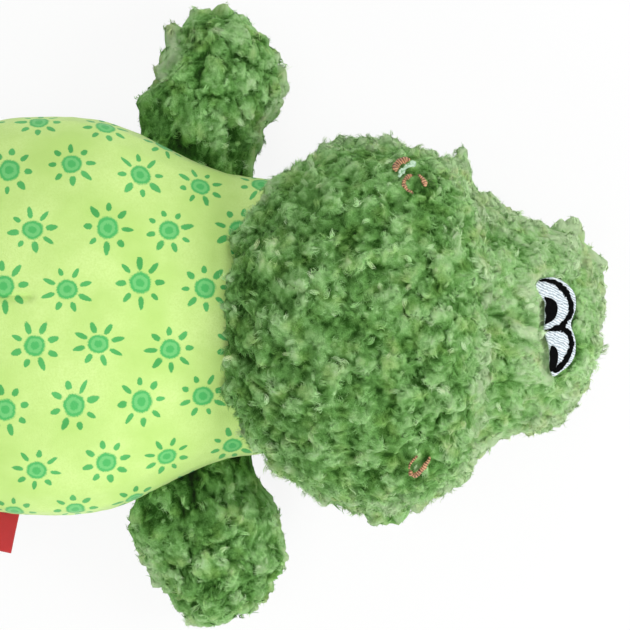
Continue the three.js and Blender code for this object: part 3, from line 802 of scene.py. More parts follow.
def lumps_at(points, normals, seed, grain):
    """The pile's lumps, big and small, each higher on the side that it leans to and hanging over there.
    Returns the rise, the shift sideways, how pale each point is (painted light on the lumps' high sides and
    rims, painted shade in their crevices, and a random tone), and the way that its big lump leans."""
    rise, pale = np.zeros(len(points)), np.zeros(len(points))
    shift = np.zeros_like(points)
    carried, big_lean = 1.0, None
    patchy = ease(-0.25, 0.3, drift(points, PATCH_SIZES[0], seed + 3)[:, 0])
    for number, lump in enumerate(LUMPS):
        size = lump["size"] * grain * MM
        wander = drift(points, size, seed + number) + 0.45 * drift(points, size * 0.4, seed + number + 20)
        warped = points + wander * lump["warp"] * grain * MM
        first, second, way, luck = cellular(warped / size, seed * 10 + number)
        edge = np.clip((second - first) / lump["edge"], 0, 1)
        edge = edge * (2 - edge)
        if number == 0:
            edge = edge + (1 - edge) * 0.7 * patchy
        lean = luck - 0.5
        lean = unit(lean - (lean * normals).sum(1)[:, None] * normals)
        side = np.clip(0.5 + 0.95 * (way * lean).sum(1), 0, 1)
        high = edge * (0.42 + 0.58 * ease(0, 1, side)) * (0.6 + 0.5 * luck[:, 2])
        rise = rise + high * carried * lump["rise"] * MM
        shift = shift + lean * (high * side * carried * lump["over"] * MM)[:, None]
        # painted light on each lump's high side and a painted highlight along its rim, with painted shade left
        # in the low parts; the luck term is a random tone
        rim = side * edge * (1 - edge) * 4
        pale = pale + lump["pale"] * (high + 0.35 * rim) + lump["luck"] * (luck[:, 1] - 0.5)
        carried = carried * (0.45 + 0.55 * high)
        big_lean = lean if big_lean is None else big_lean
    rise = rise + drift(points, PATCH_SIZES[1], seed + 8)[:, 1] * LUMPS_UNEVEN
    return rise, shift, pale, big_lean


class Puffed:
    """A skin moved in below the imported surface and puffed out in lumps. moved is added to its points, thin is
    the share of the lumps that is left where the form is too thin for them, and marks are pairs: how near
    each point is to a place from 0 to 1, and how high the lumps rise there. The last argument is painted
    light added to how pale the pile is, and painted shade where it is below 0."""

    def __init__(self, skin, seed, moved=0.0, thin=1.0, marks=(), grain=1.0, painted_shading=0.0):
        self.faces = skin.faces
        rise, shift, pale, self.leans = lumps_at(skin.points, skin.normals, seed, grain)
        for near, level in marks:
            rise = rise + near * (level - rise)
            shift = shift * (1 - near)[:, None]
        # pale holds painted light on the lumps' tops and rims, painted shade in their crevices, a random tone,
        # and the painted light and shade given by the last argument
        self.heights, self.pale = rise, pale + painted_shading
        puffed = skin.normals * (rise - PUFF_INSET)[:, None] + shift
        self.points = skin.points + puffed * np.reshape(thin, (-1, 1)) + moved
        self.points = smooth(self.points, edges_of(self.faces), 1, LUMPS_SOFTENED)
        self.points[:, 2] = np.maximum(self.points[:, 2], BASE_LOWEST)
        normals, self.areas = triangle_facts(self.points, self.faces)
        self.normals = unit(normals + 0.35 * skin.normals)

    def base(self, name, keep):
        """The matted base where keep(centres of triangles) holds."""
        faces = self.faces[keep(self.points[self.faces].mean(1))]
        used, places = np.unique(faces, return_inverse=True)
        # the base's tip attribute is its painted shading: dark in the crevices, pale on the lumps
        return fill_mesh(name, self.points[used], places.reshape(-1, 3), MATTED, [("tip", self.pale[used])])


def tuft_kind(rng, form, shape):
    """One tuft in millimetres about its root: x is the way that it leans and z leaves the cloth. Returns
    triangles and a table that has a row a point: its place, its normal, how light it is from root to tip
    (painted shade at the root, painted light towards the tip), its fibre's tone and its place in a square map."""
    length, fat = rng.uniform(*shape["length"]), rng.uniform(*shape["fat"])
    spans = (shape["start"], *TUFT_SWINGS)
    start, bend, turn, sway = (math.radians(rng.uniform(*span)) for span in spans)
    t = np.linspace(0, 1, TUFT_FINE + 1)
    pitch = start + bend * t ** 0.9
    yaw = turn + sway * t
    heading = np.stack([np.sin(pitch) * np.cos(yaw), np.sin(pitch) * np.sin(yaw), np.cos(pitch)], 1)
    line = np.vstack([np.zeros(3), np.cumsum((heading[1:] + heading[:-1]) / 2 * length / TUFT_FINE, axis=0)])
    side = np.stack([-np.sin(yaw), np.cos(yaw), np.zeros_like(yaw)], 1)
    up = np.cross(heading, side)

    def along(values, places):
        return np.stack([np.interp(places, t, values[:, k]) for k in range(3)], 1)

    rows, faces = [], []
    for fibre in range(form["fibres"]):
        begin = len(rows)
        first = rng.uniform(0.0, 0.4)
        places = np.linspace(first, min(1.0, first + rng.uniform(0.5, 0.85)), FIBRE_STEPS + 1)
        centre, s, u = along(line, places), along(side, places), along(up, places)
        share = (places - places[0]) / (places[-1] - places[0])
        spread = math.sqrt(rng.uniform(0.05, 1)) * fat
        out = spread * (0.35 + 0.65 * np.sin(np.pi * np.clip(places * 0.85 + 0.1, 0, 1)))
        around = (rng.uniform(0, 2 * math.pi) + rng.uniform(-2.0, 2.0) * (places - 0.5))[:, None]
        spoke = np.cos(around) * s + 0.55 * np.sin(around) * u
        stray = rng.normal(0, shape["stray"], 3)
        wave = rng.normal(0, 0.2, 3) * np.sin(share[:, None] * rng.uniform(4, 9) + rng.uniform(0, 6))
        route = centre + out[:, None] * spoke + stray * share[:, None] ** 2 + wave
        flank = unit(np.cross(np.gradient(route, axis=0), np.array([0, 0, 1.0]) + 0.5 * rng.normal(0, 1, 3)))
        half = rng.uniform(*form["thin"]) * (1 - 0.85 * share ** 2)
        tone = rng.uniform(0, 1)
        # painted shade at the fibre's root and painted light towards its tip, more of it on wisps
        light = places + shape["painted_shading"]
        for step in range(FIBRE_STEPS + 1):
            for hand in (-1, 1):
                point = route[step] + hand * half[step] * flank[step]
                spot = (places[step], (fibre + 0.5 + 0.35 * hand) / form["fibres"])
                rows.append((*point, *unit(spoke[step]), light[step], tone, *spot))
        for step in range(FIBRE_STEPS):
            a = begin + 2 * step
            faces += [(a, a + 1, a + 2), (a + 1, a + 3, a + 2)]
    return np.array(faces), np.array(rows)


def scatter(skin, spacing, rng, wanted):
    """Places on a skin at least a spacing apart, where wanted(points) holds: points, normals, how pale the
    base is there (its painted light and shade and a random tone), and the way that its lumps lean."""
    tries = int(skin.areas.sum() / spacing ** 2 * 3.5)
    picks = rng.choice(len(skin.faces), tries, p=skin.areas / skin.areas.sum())
    weights = rng.dirichlet((1, 1, 1), tries)
    corners = skin.faces[picks]
    points = (skin.points[corners] * weights[..., None]).sum(1)
    normals = unit((skin.normals[corners] * weights[..., None]).sum(1))
    heights = (skin.heights[corners] * weights).sum(1)
    pale = (skin.pale[corners] * weights).sum(1)
    leans = (skin.leans[corners] * weights[..., None]).sum(1)
    good = np.flatnonzero(wanted(points) & (heights > ROOT_LOWEST))
    taken, kept = {}, []
    cells = np.floor(points / spacing).astype(int).tolist()
    spots = points.tolist()
    near = [(i, j, k) for i in (-1, 0, 1) for j in (-1, 0, 1) for k in (-1, 0, 1)]
    for i in good.tolist():
        x, y, z = cells[i]
        spot = spots[i]
        boxes = (taken.get((x + a, y + b, z + c), ()) for a, b, c in near)
        if any(math.dist(spot, spots[j]) < spacing for box in boxes for j in box):
            continue
        taken.setdefault((x, y, z), []).append(i)
        kept.append(i)
    return points[kept], normals[kept], pale[kept], leans[kept]


def grow(name, skin, form, wanted, seed, comb, size):
    """Covers a puffed skin with tufts. Each leans much as its lump does, comb(roots) draws some another way,
    size(roots) makes some shorter, and the floor flattens what reaches it."""
    rng = np.random.default_rng(SEED + seed)
    roots, normals, pale, leans = scatter(skin, form["spacing"] * MM, rng, wanted)
    shapes = [TUFT if (number + 1) % WISP_EVERY else WISP for number in range(form["kinds"])]
    library = [tuft_kind(rng, form, shape) for shape in shapes]
    roots = roots - ROOT_DEPTH * normals
    lean = leans + unit(drift(roots, TUFTS_DRIFT, seed)) * 0.6 + rng.normal(0, 0.45, roots.shape)
    if comb is not None:
        lean = lean + comb(roots)
    lean = unit(lean - (lean * normals).sum(1)[:, None] * normals)
    side = np.cross(normals, lean)
    scale = rng.uniform(*TUFT_SIZES, len(roots)) * (1 if size is None else size(roots)) * MM
    kind = rng.integers(0, form["kinds"], len(roots))
    tuft_tone = rng.uniform(0, 1, len(roots))
    across = math.ceil(math.sqrt(len(roots)))
    tables, triangles = [], []
    start = 0
    for number, (faces, rows) in enumerate(library):
        mine = np.flatnonzero(kind == number)
        axes = np.stack([lean[mine], side[mine], normals[mine]], 1)
        sized = rows[None, :, :3] * scale[mine, None, None]
        placed = roots[mine, None] + np.einsum("lpk,lkc->lpc", sized, axes)
        outward = unit(0.25 * np.einsum("pk,lkc->lpc", rows[:, 3:6], axes) + normals[mine, None])
        # Painted shading: a fibre starts from the base's painted crevice shade under it and gets paler towards
        # its tip as painted light.
        tip = np.clip(pale[mine, None] * (0.85 + 0.25 * rows[:, 6]) + 0.16 * (rows[:, 6] - 0.35), 0, 1)
        tone = 0.5 * rows[:, 7] + 0.5 * tuft_tone[mine, None]
        cell = np.stack([mine % across, mine // across], 1)
        spots = (cell[:, None] + 0.06 + rows[:, 8:10] * 0.88) / across
        columns = (placed, outward, tip[..., None], tone[..., None], spots)
        tables.append(np.concatenate(columns, 2).reshape(-1, 10))
        order = start + np.arange(len(mine)) * len(rows)
        triangles.append((faces[None] + order[:, None, None]).reshape(-1, 3))
        start += len(mine) * len(rows)
    table, faces = np.concatenate(tables), np.concatenate(triangles)
    table[:, 2] = np.maximum(table[:, 2], FLOOR_CLEARANCE)
    attributes = [("tip", table[:, 6]), ("tone", table[:, 7])]
    return fill_mesh(name, table[:, :3], faces, PILE, attributes, table[:, 8:10], table[:, 3:6])


# Pieces: what they stand for and how they move


def joint_of(name):
    return next(j for j in frame["record"]["behaviour"]["joints"] if j["name"] == name)


def root_of(limb):
    """Where a limb's joint is, and the way out of the trunk there."""
    joint = joint_of(f"{limb}_swing")
    seat = np.array(joint["pos_m"])
    out = np.cross(joint["axis"], (0, 0, 1.0))
    return seat, out * np.sign(out @ (skins[limb].points.mean(0) - seat))


def place_piece(piece, body, node):
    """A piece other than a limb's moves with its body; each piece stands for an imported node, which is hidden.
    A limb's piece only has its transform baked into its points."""
    if body in LIMBS:
        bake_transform(piece)
    else:
        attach(piece, body)
    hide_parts(node)


def dressed(name, body, puffy, low, high, form, clear, seed, comb=None, size=None):
    """A padded panel's base and its pile, between two heights."""
    def within(points):
        return (points[:, 2] > low) & (points[:, 2] <= high)

    base = puffy.base(f"{name}_cloth", within)
    pile = grow(f"{name}_pile", puffy, form, lambda points: within(points) & clear(points), seed, comb, size)
    for piece in (base, pile):
        place_piece(piece, body, f"{name}_panel")


# The belly: printed cloth drawn tight over the front of the trunk

BELLY_EDGE_Z = 22 * MM  # the cloth turns under the trunk's widest line
BELLY_GROWS = 1.5 * MM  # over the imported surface, less towards the seam
BELLY_SWELLS = 0.25 * MM
SWELL_SIZES = (16 * MM, 7 * MM)
BELLY_TUCKS = 0.5 * MM  # the small waves near the seam
TUCK_SIZE = 4.5 * MM
TUCK_REACH = 12 * MM
CREASE_Y = 6 * MM
CREASE_X = (-18 * MM, -1 * MM)
CREASE_DEPTH = 1.5 * MM
CREASE_HALF_WIDTH = 1.2 * MM
FLATTEN_TURNS = 700
FLATTEN_START = 0.85  # of a point's drop below the crown, how far out it starts


def cap_of(skin, z):
    """The part of a skin above a height, with a clean edge: points, triangles and which points are on it."""
    mesh = bpy.data.meshes.new("cap")
    mesh.from_pydata(skin.points.tolist(), [], skin.faces.tolist())
    bm = bmesh.new()
    bm.from_mesh(mesh)
    bmesh.ops.bisect_plane(
        bm, geom=bm.verts[:] + bm.edges[:] + bm.faces[:], dist=1e-5, plane_co=(0, 0, z), plane_no=(0, 0, 1),
        clear_inner=True,
    )
    bmesh.ops.remove_doubles(bm, verts=bm.verts[:], dist=0.4 * MM)
    bmesh.ops.triangulate(bm, faces=bm.faces[:])
    rim = np.array([v.is_boundary for v in bm.verts])
    bpy.data.meshes.remove(mesh)
    return *arrays_of(bm), rim


def flattened(points, faces):
    """The cloth laid flat, so that its threads keep their lengths as nearly as they can."""
    edges = edges_of(faces)
    lengths = np.linalg.norm(points[edges[:, 1]] - points[edges[:, 0]], axis=1)
    count = np.bincount(edges.ravel(), minlength=len(points))[:, None]
    crown = points[:, 2].max()
    plan = points[:, :2]
    drop = (crown - points[:, 2])[:, None]
    flat = plan * (1 + FLATTEN_START * drop / np.maximum(np.linalg.norm(plan, axis=1)[:, None], 1 * MM))
    speed = np.zeros_like(flat)
    for _ in range(FLATTEN_TURNS):
        way = flat[edges[:, 1]] - flat[edges[:, 0]]
        long = np.linalg.norm(way, axis=1)
        pull = way * ((long - lengths) / np.maximum(long, 1e-9) / 2)[:, None]
        moved = np.zeros_like(flat)
        np.add.at(moved, edges[:, 0], pull)
        np.add.at(moved, edges[:, 1], -pull)
        speed = 0.9 * speed + moved / count
        flat = flat + speed
    return flat


def belly():
    points, faces, rim = cap_of(skins["trunk"], BELLY_EDGE_Z)
    flat = flattened(points, faces)
    table = np.column_stack([points, flat, rim])
    for _ in range(2):
        table, faces = refined(table, faces)
        held = table[:, 5] > 0.99
        table[:, :3] = smooth(table[:, :3], edges_of(faces), 2, held=held)
    points, flat = table[:, :3], table[:, 3:5]
    normals = triangle_facts(points, faces)[0]
    along = ease(CREASE_X[0] - 3 * MM, CREASE_X[0], points[:, 0])
    along = along * (1 - ease(CREASE_X[1] - 4 * MM, CREASE_X[1], points[:, 0]))
    groove = np.exp(-(((points[:, 1] - CREASE_Y) / CREASE_HALF_WIDTH) ** 2)) * along * (points[:, 2] > SEAM_Z)
    big, small = (np.array([noise.noise(Vector(p) / size) for p in points]) for size in SWELL_SIZES)
    swell = big + 0.4 * small
    tuck = ease(TUCK_REACH, 0, points[:, 2] - BELLY_EDGE_Z)
    waves = np.array([noise.noise(Vector((p[0], p[1], 0)) / TUCK_SIZE) for p in points]) * tuck
    grows = BELLY_GROWS * ease(BELLY_EDGE_Z, BELLY_EDGE_Z + 4 * MM, points[:, 2])
    rise = BELLY_SWELLS * swell + BELLY_TUCKS * waves - CREASE_DEPTH * groove + grows
    points = points + normals * rise[:, None]
    attributes = [("print_u", flat[:, 1]), ("print_v", flat[:, 0])]
    made = fill_mesh("belly_cloth", points, faces, printed_material(), attributes)
    place_piece(made, "trunk", "body_front_panel")


# The forms in their pile

PUSHES = (  # millimetres: where the pile stands out or lies in, over what radius, and by how much
    ((141, 43, 36), 10, (0, 9, 0)),
    ((139, 46, 36), 8, (0, 4, 0)),
    ((127, 56, 36), 8, (0, -8.5, 0)),
    ((97, 60, 36), 10, (0, 3.5, 0)),
    ((141, -46, 36), 7, (0, -7, 0)),
    ((134, -53, 36), 6, (0, -5, 0)),
    ((125, -60, 36), 5.5, (0, 6, 0)),
    ((116, -62, 36), 6, (0, -9, 0)),
    ((107, -62, 36), 5, (0, -5, 0)),
    ((99, -63, 36), 3.5, (0, -5, 0)),
    ((82, -57, 36), 7, (0, 3.5, 0)),
    ((178, 24, 30), 10, (1.5, 5, 0)),
    ((172, 29, 30), 6, (0, 3, 0)),
    ((184, 10, 30), 8, (2.5, 0, 0)),
    ((183, -12, 30), 8, (-8, 0, 0)),
    ((181, -25, 30), 9, (-4, 0, 0)),
    ((168, -38, 30), 11, (0, -3, 0)),
    ((31, 90, 28), 12, (10, -5, 0)),
    ((30, 73, 28), 4.5, (-5, 0, 0)),
    ((29, 62, 28), 3.5, (-3, 0, 0)),
    ((76, 60, 28), 9, (-6, 0, 0)),
    ((79, 68, 28), 3, (8, 0, 0)),
    ((77, 59, 28), 3, (8, -1, 0)),
    ((32, -90, 28), 12, (5, 0, 0)),
    ((25, -72, 28), 7, (-9, 0, 0)),
    ((76, -84, 28), 7, (3, 0, 0)),
)
CHIN_GROWS = 4.5 * MM  # how much further than packed the pile reaches over the chest
CHIN_Z = (HEAD_SEAM_Z - 6 * MM, HEAD_SEAM_Z + 12 * MM)
# painted light: the pile is painted paler towards the head's end, as if lit from there
EYES_PAINTED_LIGHT = 0.20
EYES_PAINTED_LIGHT_X = (118 * MM, 160 * MM)
# painted light on the pile that hangs over the eyes' inner edge
BROW_PAINTED_LIGHT = 0.2
# painted shade right of the eyes, in the recess where the pile lies deeper
BANK_PAINTED_SHADE = 0.22  # right of the eyes, where the pile lies deeper
BANK_REACH = (1.5 * MM, 5 * MM)
# painted light where the forms face sideways, for light that comes through the pile
SIDES_PAINTED_LIGHT = 0.24
# painted shade by the neck, where the trunk shades the head
NECK_PAINTED_SHADE = 0.10
NECK_PAINTED_SHADE_X = (62 * MM, 82 * MM)
TRUNK_SHRINKS = 3.0 * MM  # the back's pile stays hidden under the belly's edge
TRUNK_SHRINKS_Z = (10 * MM, 24 * MM)
LIMBS_GROW = 1.6 * MM
ROOT_REACH = 7.0 * MM  # of a limb's pile into the trunk's side
ROOT_SPAN = 14 * MM  # outward from a limb's joint, over which its pile reaches inward
# painted shade where a limb meets the trunk, under the belly's edge
ROOT_PAINTED_SHADE = 0.20
ROOT_PAINTED_SHADE_SPAN = 13 * MM
ROOT_THIN_SPAN = (-2 * MM, 10 * MM)  # where a limb's lumps grow to their full height
PATCH_GAP = 0.5 * MM  # between the patch and the pile's base under it
PATCH_SEAT = (1.2 * MM, 4 * MM)  # least and most that the pile's base rises under the patch
PATCH_BANKS = (0.4 * MM, 1.1 * MM)  # width of the step down to the patch, on its inner and outer side
NOSTRILS_SEAT = 4.8 * MM  # how far the pile's base rises under the nostrils
NOSTRILS_BANK = (0.8 * MM, 3 * MM)
BROW_RISE = 4.2 * MM  # of the pile that hangs over the eyes' inner edge
BROW_SHARE = 0.8
BROW_WIDTH = 4.0 * MM
BROW_REACH = 1.3 * MM
COMB_PULL = 3  # how strongly the tufts round the eyes are combed
COMB_REACH = (1 * MM, 7 * MM)
SHORT_TUFTS = 0.6  # the size of the tufts next to the nostrils
SHORT_REACH = (1 * MM, 5 * MM)
CLEAR_OF_PATCH = 0.1 * MM  # no tuft grows nearer than this
CLEAR_OF_NOSTRILS = 0.8 * MM
CLEAR_INSIDE = 1 * MM  # no tuft grows deeper than this in another form
FILL_TURNS = 12  # of smoothing, before and after the fibre's surface moves in
FILL_INSET = 9 * MM
FILL_SHARE = 0.3  # of a thin form's thickness, where that is less
FILL_LOWEST = 5 * MM
FILL_LUMPS = 1.2 * MM
FILL_LUMP_SIZE = 9 * MM


def pushed(points):
    """How far points move where the pile is pushed out or in."""
    moved = np.zeros_like(points)
    for place, radius, way in PUSHES:
        away = np.linalg.norm(points / MM - np.array(place), axis=1)
        moved += np.outer(np.exp(-((away / radius) ** 2)), np.array(way) * MM)
    return moved


def sides(normals):
    """1 where a form faces sideways, where painted light stands in for light that comes through its pile, down
    to 0 on top and underneath.
    """
    return 1 - ease(0.15, 0.75, np.abs(normals[:, 2]))


def inside(names, points):
    """How deep points lie in the deepest of some forms."""
    return np.array([max(skins[name].depth(p) for name in names) for p in points])


def dress_head(drawn):
    skin = skins["head"]
    eyes, nostrils = drawn.from_eyes(skin.points), drawn.from_nostrils(skin.points)
    laid = drawn.eyes.lay(skin.points)
    middle = drawn.patch[:, 0].mean()
    inner = laid[:, 0] < middle - 1 * MM
    brow = inner * ease(0, 0.3 * MM, eyes) * (1 - ease(BROW_WIDTH, BROW_WIDTH + 2 * MM, eyes))
    seat = np.clip(PUFF_INSET - PATCH_GAP - laid[:, 2], *PATCH_SEAT)
    marks = [
        (1 - ease(0.05 * MM, np.where(inner, *PATCH_BANKS), eyes), seat),
        (1 - ease(*NOSTRILS_BANK, nostrils), NOSTRILS_SEAT),
        (BROW_SHARE * brow, BROW_RISE),
    ]
    x, z = skin.points[:, 0], skin.points[:, 2]
    chin = np.clip(-skin.normals[:, 0], 0, 1) * ease(*CHIN_Z, z)
    moved = pushed(skin.points) + np.outer(chin, (-CHIN_GROWS, 0, 0))
    moved = moved + np.outer(brow, drawn.eyes.x) * BROW_REACH
    right = ease(0, 2 * MM, laid[:, 0] - middle)
    # Painted light and shade in the pile's colour: paler towards the eyes' end, on the brow and on the sides;
    # darker by the neck and right of the eyes.
    painted_shading = EYES_PAINTED_LIGHT * ease(*EYES_PAINTED_LIGHT_X, x) + BROW_PAINTED_LIGHT * brow + SIDES_PAINTED_LIGHT * sides(skin.normals)
    painted_shading = painted_shading - NECK_PAINTED_SHADE * (1 - ease(*NECK_PAINTED_SHADE_X, x))
    painted_shading = painted_shading - BANK_PAINTED_SHADE * right * (1 - ease(*BANK_REACH, eyes))
    puffy = Puffed(skin, 1, moved=moved, marks=marks, grain=HEAD_GRAIN, painted_shading=painted_shading)

    def clear(points):
        off_eyes = drawn.from_eyes(points) > CLEAR_OF_PATCH
        off_nostrils = drawn.from_nostrils(points) > CLEAR_OF_NOSTRILS
        return (inside(["trunk"], points) <= CLEAR_INSIDE) & off_eyes & off_nostrils

    def comb(roots):
        pull = (1 - ease(*COMB_REACH, drawn.from_eyes(roots)))[:, None] * COMB_PULL
        over = drawn.eyes.lay(roots)[:, :1] < middle - 4 * MM
        away = unit(roots - np.array(drawn.eyes.origin))
        return pull * np.where(over, np.array([[1.0, 0, 0]]), away)

    def size(roots):
        return SHORT_TUFTS + (1 - SHORT_TUFTS) * ease(*SHORT_REACH, drawn.from_nostrils(roots))

    dressed("head_face", "head", puffy, HEAD_SEAM_Z, math.inf, FACE_TUFTS, clear, 2, comb, size)
    dressed("head_back", "head", puffy, -math.inf, HEAD_SEAM_Z, BACK_TUFTS, clear, 3)
    return puffy


def dress_trunk():
    skin = skins["trunk"]
    shrunk = TRUNK_SHRINKS * ease(*TRUNK_SHRINKS_Z, skin.points[:, 2])
    puffy = Puffed(skin, 4, moved=-skin.normals * shrunk[:, None])

    def clear(points):
        low = points[:, 2] < BELLY_EDGE_Z - 1 * MM
        return low & (inside(("head", *LIMBS), points) < CLEAR_INSIDE)

    dressed("body_back", "trunk", puffy, -math.inf, BELLY_EDGE_Z + 4 * MM, BACK_TUFTS, clear, 5)
    return puffy


def dress_limb(name, number):
    skin = skins[name]
    seat, out = root_of(name)
    reach = (skin.points - seat) @ out
    rooted = np.outer(ease(ROOT_SPAN, 0, reach), -out * ROOT_REACH)
    moved = pushed(skin.points) + rooted + skin.normals * LIMBS_GROW
    # painted light on the limbs' sides and painted shade near their roots
    painted_shading = SIDES_PAINTED_LIGHT * sides(skin.normals) - ROOT_PAINTED_SHADE * ease(ROOT_PAINTED_SHADE_SPAN, 0, reach)
    thin = ease(*ROOT_THIN_SPAN, reach)
    puffy = Puffed(skin, 10 + number, moved=moved, thin=thin, grain=LIMB_GRAIN, painted_shading=painted_shading)

    def clear(points):
        return inside(["trunk"], points) < 2 * CLEAR_INSIDE

    front = FACE_TUFTS if name.startswith("arm") else BACK_TUFTS
    dressed(f"{name}_front", name, puffy, SEAM_Z, math.inf, front, clear, 20 + number)
    dressed(f"{name}_back", name, puffy, -math.inf, SEAM_Z, BACK_TUFTS, clear, 30 + number)
    return puffy


def fill_form(name, puffy):
    """The loose fibre inside a form, as a lumpy ball of its own well under the pile's deepest places."""
    skin = skins[name]
    edges = edges_of(skin.faces)
    points = smooth(puffy.points, edges, FILL_TURNS)
    lumps = np.array([noise.noise(Vector(p) / FILL_LUMP_SIZE) for p in points])
    thick = np.array([skin.thickness(p, n) for p, n in zip(skin.points, skin.normals)])
    inset = np.minimum(FILL_INSET, FILL_SHARE * thick)
    points = smooth(points + skin.normals * (lumps * FILL_LUMPS - inset)[:, None], edges, FILL_TURNS)
    points[:, 2] = np.maximum(points[:, 2], FILL_LOWEST)
    made = fill_mesh(f"{name}_fibre", points, skin.faces, FILL)
    place_piece(made, name, "body_stuffing" if name == "trunk" else f"{name}_stuffing")


# What is sewn on, and the squeaker

PATCH_RISE = 0.55 * MM
EYE_LINES_RISE = 0.75 * MM
EYE_LINES_BASE = 0.45 * MM  # over the plane of the patch
PUPIL_RISE = 0.5 * MM
PUPIL_BASE = 0.6 * MM
NOSTRIL_RISE = 0.8 * MM
NOSTRIL_PITCH = 0.8 * MM
BACKING_RISE = 0.3 * MM


def embroider(name, parts, material, node):
    points, faces, along = joined(parts)
    made = fill_mesh(name, points, faces, material, [("along", along)])
    place_piece(made, "head", node)


def sew_eyes(drawn):
    rng = np.random.default_rng(SEED + 50)
    plane = drawn.eyes
    patch = [pad(plane, drawn.patch, PATCH_RISE)]
    embroider("eye_patch_stitches", patch, patch_material(), "eye_patch")
    black = thread_material("black_thread", srgb(2, 2, 2), srgb(12, 13, 14), 0.45 * MM, 0.8, 0.04)
    lines = []
    for line in EYE_LINES:
        points, faces, along = satin(plane, line, EYE_LINES_RISE, 0.55 * MM, 0.12, rng)
        lines.append((points + np.array(plane.normal) * EYE_LINES_BASE, faces, along))
    embroider("eye_outline_stitches", lines, black, "eye_outline")
    for name, edge in PUPIL_EDGES.items():
        outline = curve_through([plane.flat(*px) for px in edge], closed=True, steps=6)
        parts = [pad(plane, outline, PUPIL_RISE, PUPIL_BASE)]
        embroider(f"{name}_stitches", parts, black, name)


def sew_nostrils(drawn):
    rng = np.random.default_rng(SEED + 60)
    # brown thread: its dark end is painted shade between the threads, its light end a painted highlight
    brown = thread_material("brown_thread", srgb(52, 30, 14), srgb(222, 168, 124), NOSTRIL_PITCH, 0.4, 0.5)
    for name, lines in NOSTRIL_LINES.items():
        plane = drawn.nostrils[name][0]
        parts = [satin(plane, line, NOSTRIL_RISE, NOSTRIL_PITCH, 0.3, rng) for line in lines]
        embroider(f"{name}_stitches", parts, brown, name)
    plane = drawn.nostrils["nostril_right"][0]
    outline = curve_through([plane.flat(*px) for px in NOSTRIL_BACKING], closed=True, steps=5)
    backing = [pad(plane, outline, BACKING_RISE)]
    embroider("nostril_right_backing", backing, backing_material(), "nostril_right")


LABEL_WIDTH = 22 * MM
LABEL_LENGTH = 12.6 * MM
LABEL_THICK = 0.4 * MM
LABEL_FOLD = 0.55 * MM  # radius of the fold
LABEL_ROOT = 2.5 * MM  # sewn into the seam
LABEL_DROP = 1.6 * MM
LABEL_WAVES = 0.5 * MM
LABEL_STATIONS = 45  # points along the label's width, and below it along its length and round its fold
LABEL_STEPS = 22
LABEL_ROUND = 13


def sew_label():
    """A ribbon folded once, whose two ends are sewn into the side seam."""
    joint = joint_of("label_flap")
    seat = np.array(joint["pos_m"])
    along = -np.array(joint["axis"])
    out = np.cross(along, (0, 0, 1.0))
    if out[1] > 0:
        out = -out
    straight = LABEL_LENGTH - LABEL_FOLD + LABEL_ROOT
    runs = np.linspace(0, straight, LABEL_STEPS)
    bend = np.linspace(math.pi / 2, -math.pi / 2, LABEL_ROUND)[1:-1]
    top = np.column_stack([runs - LABEL_ROOT, np.full(LABEL_STEPS, LABEL_FOLD)])
    tip = np.column_stack([straight - LABEL_ROOT + LABEL_FOLD * np.cos(bend), LABEL_FOLD * np.sin(bend)])
    middle = np.vstack([top, tip, top[::-1] * (1, -1)])
    way = unit(np.gradient(middle, axis=0))
    side = np.column_stack([-way[:, 1], way[:, 0]]) * LABEL_THICK / 2
    profile = np.vstack([middle + side, (middle - side)[::-1]])
    travel = np.concatenate([[0], np.cumsum(np.linalg.norm(np.diff(middle, axis=0), axis=1))])
    travel = np.concatenate([travel, travel[::-1]])
    reach = np.clip(profile[:, 0] / LABEL_LENGTH, 0, 1)
    stations = np.linspace(-0.5, 0.5, LABEL_STATIONS)
    points = []
    for share in stations:
        flat = seat + along * share * LABEL_WIDTH + np.outer(profile[:, 0], out)
        sag = LABEL_WAVES * reach * math.sin(share * 5 + 1) - LABEL_DROP * reach ** 2
        flat[:, 2] += profile[:, 1] + sag
        points.append(flat)
    ring = len(profile)
    ends = []
    for j in (0, LABEL_STATIONS - 1):
        for k in range(ring // 2 - 1):
            a, b = j * ring + k, j * ring + k + 1
            c, d = j * ring + ring - 1 - k, j * ring + ring - 2 - k
            ends += [(a, c, b), (b, c, d)] if j == 0 else [(a, b, c), (b, d, c)]
    faces = np.vstack([ring_faces(LABEL_STATIONS, ring), ends])
    across = np.repeat(stations * LABEL_WIDTH, ring)
    attributes = [("ribbon_u", across), ("ribbon_v", np.tile(travel, LABEL_STATIONS))]
    made = fill_mesh("label_ribbon", np.vstack(points), faces, label_material(), attributes)
    place_piece(made, "label", "side_label")


SQUEAKER = {  # material, its colour and the mottle's, roughness, and transmission
    "squeaker_bulb": ("bulb_plastic", srgb(233, 236, 234), srgb(214, 220, 217), 0.35, 0.3),
    "squeaker_valve": ("whistle_plastic", srgb(247, 247, 242), srgb(233, 233, 226), 0.4, 0.0),
    "squeaker_reed": ("reed_plastic", srgb(217, 178, 74), srgb(196, 154, 58), 0.4, 0.0),
}


def finish_squeaker():
    """The squeaker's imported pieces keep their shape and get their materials."""
    for name, look in SQUEAKER.items():
        finish = moulded_material(*look)
        for place in frame["nodes"][name].material_slots:
            place.material = finish


# Stage: camera, light and floor

def background_share(n):
    """1 for what the camera sees, also in gloss and through glass."""
    share = 0.0
    for name in ("Is Camera Ray", "Is Glossy Ray", "Is Transmission Ray"):
        share = n.math("MAXIMUM", share, n.give("ShaderNodeLightPath", output=name))
    return share


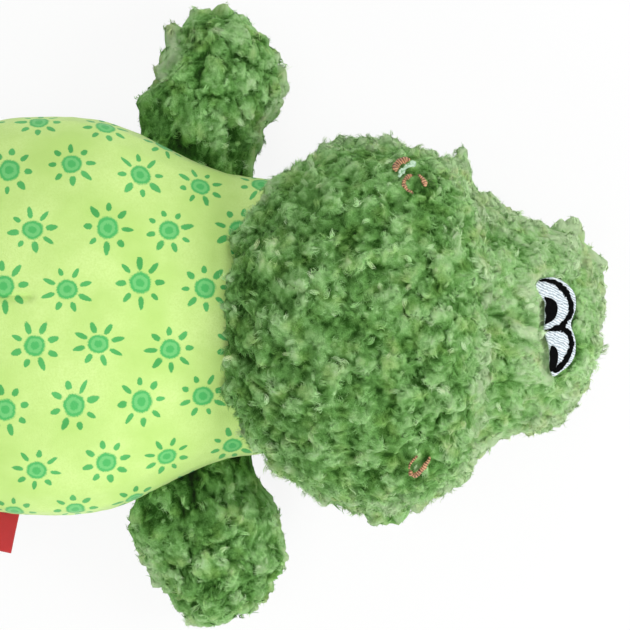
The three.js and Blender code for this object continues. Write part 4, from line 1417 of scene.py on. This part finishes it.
def make_stage():
    scene = bpy.context.scene
    scene.view_settings.view_transform = "Standard"
    camera = bpy.data.objects.new("camera", bpy.data.cameras.new("camera"))
    camera.location = CAMERA
    camera.data.sensor_width = SENSOR_MM
    camera.data.lens = SENSOR_MM * VIEW_HEIGHT / (FRAME_PX * MM_PER_PX * MM)
    scene.collection.objects.link(camera)
    scene.camera = camera

    for place, watts in LAMPS:
        lamp = bpy.data.objects.new("lamp", bpy.data.lights.new("lamp", "AREA"))
        lamp.data.size = LAMP_SIZE
        lamp.data.energy = watts
        lamp.location = place
        lamp.rotation_euler = (Vector(place) - Vector((CAMERA.x, 0, 0))).to_track_quat("Z", "Y").to_euler()
        scene.collection.objects.link(lamp)

    world = bpy.data.worlds.new("studio")
    world.use_nodes = True
    n = Nodes(world.node_tree)
    light = n.tree.nodes["Background"]
    n.fill(light, {"Color": WHITE, "Strength": WORLD_LIGHT})
    white = n.give("ShaderNodeBackground", {"Color": WHITE})
    lit = Value(n, light.outputs[0])
    seen = n.give("ShaderNodeMixShader", {0: background_share(n), 1: lit, 2: white})
    n.fill(n.tree.nodes["World Output"], {0: seen})
    scene.world = world

    n = Material("floor", 0.9, gloss=0)
    n.colour(FLOOR_COLOUR)
    lit = Value(n, n.shader.outputs[0])
    share = background_share(n) * FLOOR_GLOW
    seen = n.give("ShaderNodeMixShader", {0: share, 1: lit, 2: n.give("ShaderNodeEmission")})
    n.fill(n.tree.nodes["Material Output"], {0: seen})
    side = FLOOR_SIZE / 2
    corners = np.array([(-side, -side, 0), (side, -side, 0), (side, side, 0), (-side, side, 0)])
    floor = fill_mesh("floor", corners, np.array([(0, 1, 2), (0, 2, 3)]), n.material)


make_stage()
skins = {name: Skin(*facts) for name, facts in SKINS.items()}
PILE = pile_material()
MATTED = matted_material()
FILL = fibre_fill_material()
drawn = Drawn()
forms = {"head": dress_head(drawn), "trunk": dress_trunk()}
for number, limb in enumerate(LIMBS):
    forms[limb] = dress_limb(limb, number)
for name, puffy in forms.items():
    fill_form(name, puffy)
belly()
sew_eyes(drawn)
sew_nostrils(drawn)
sew_label()
finish_squeaker()
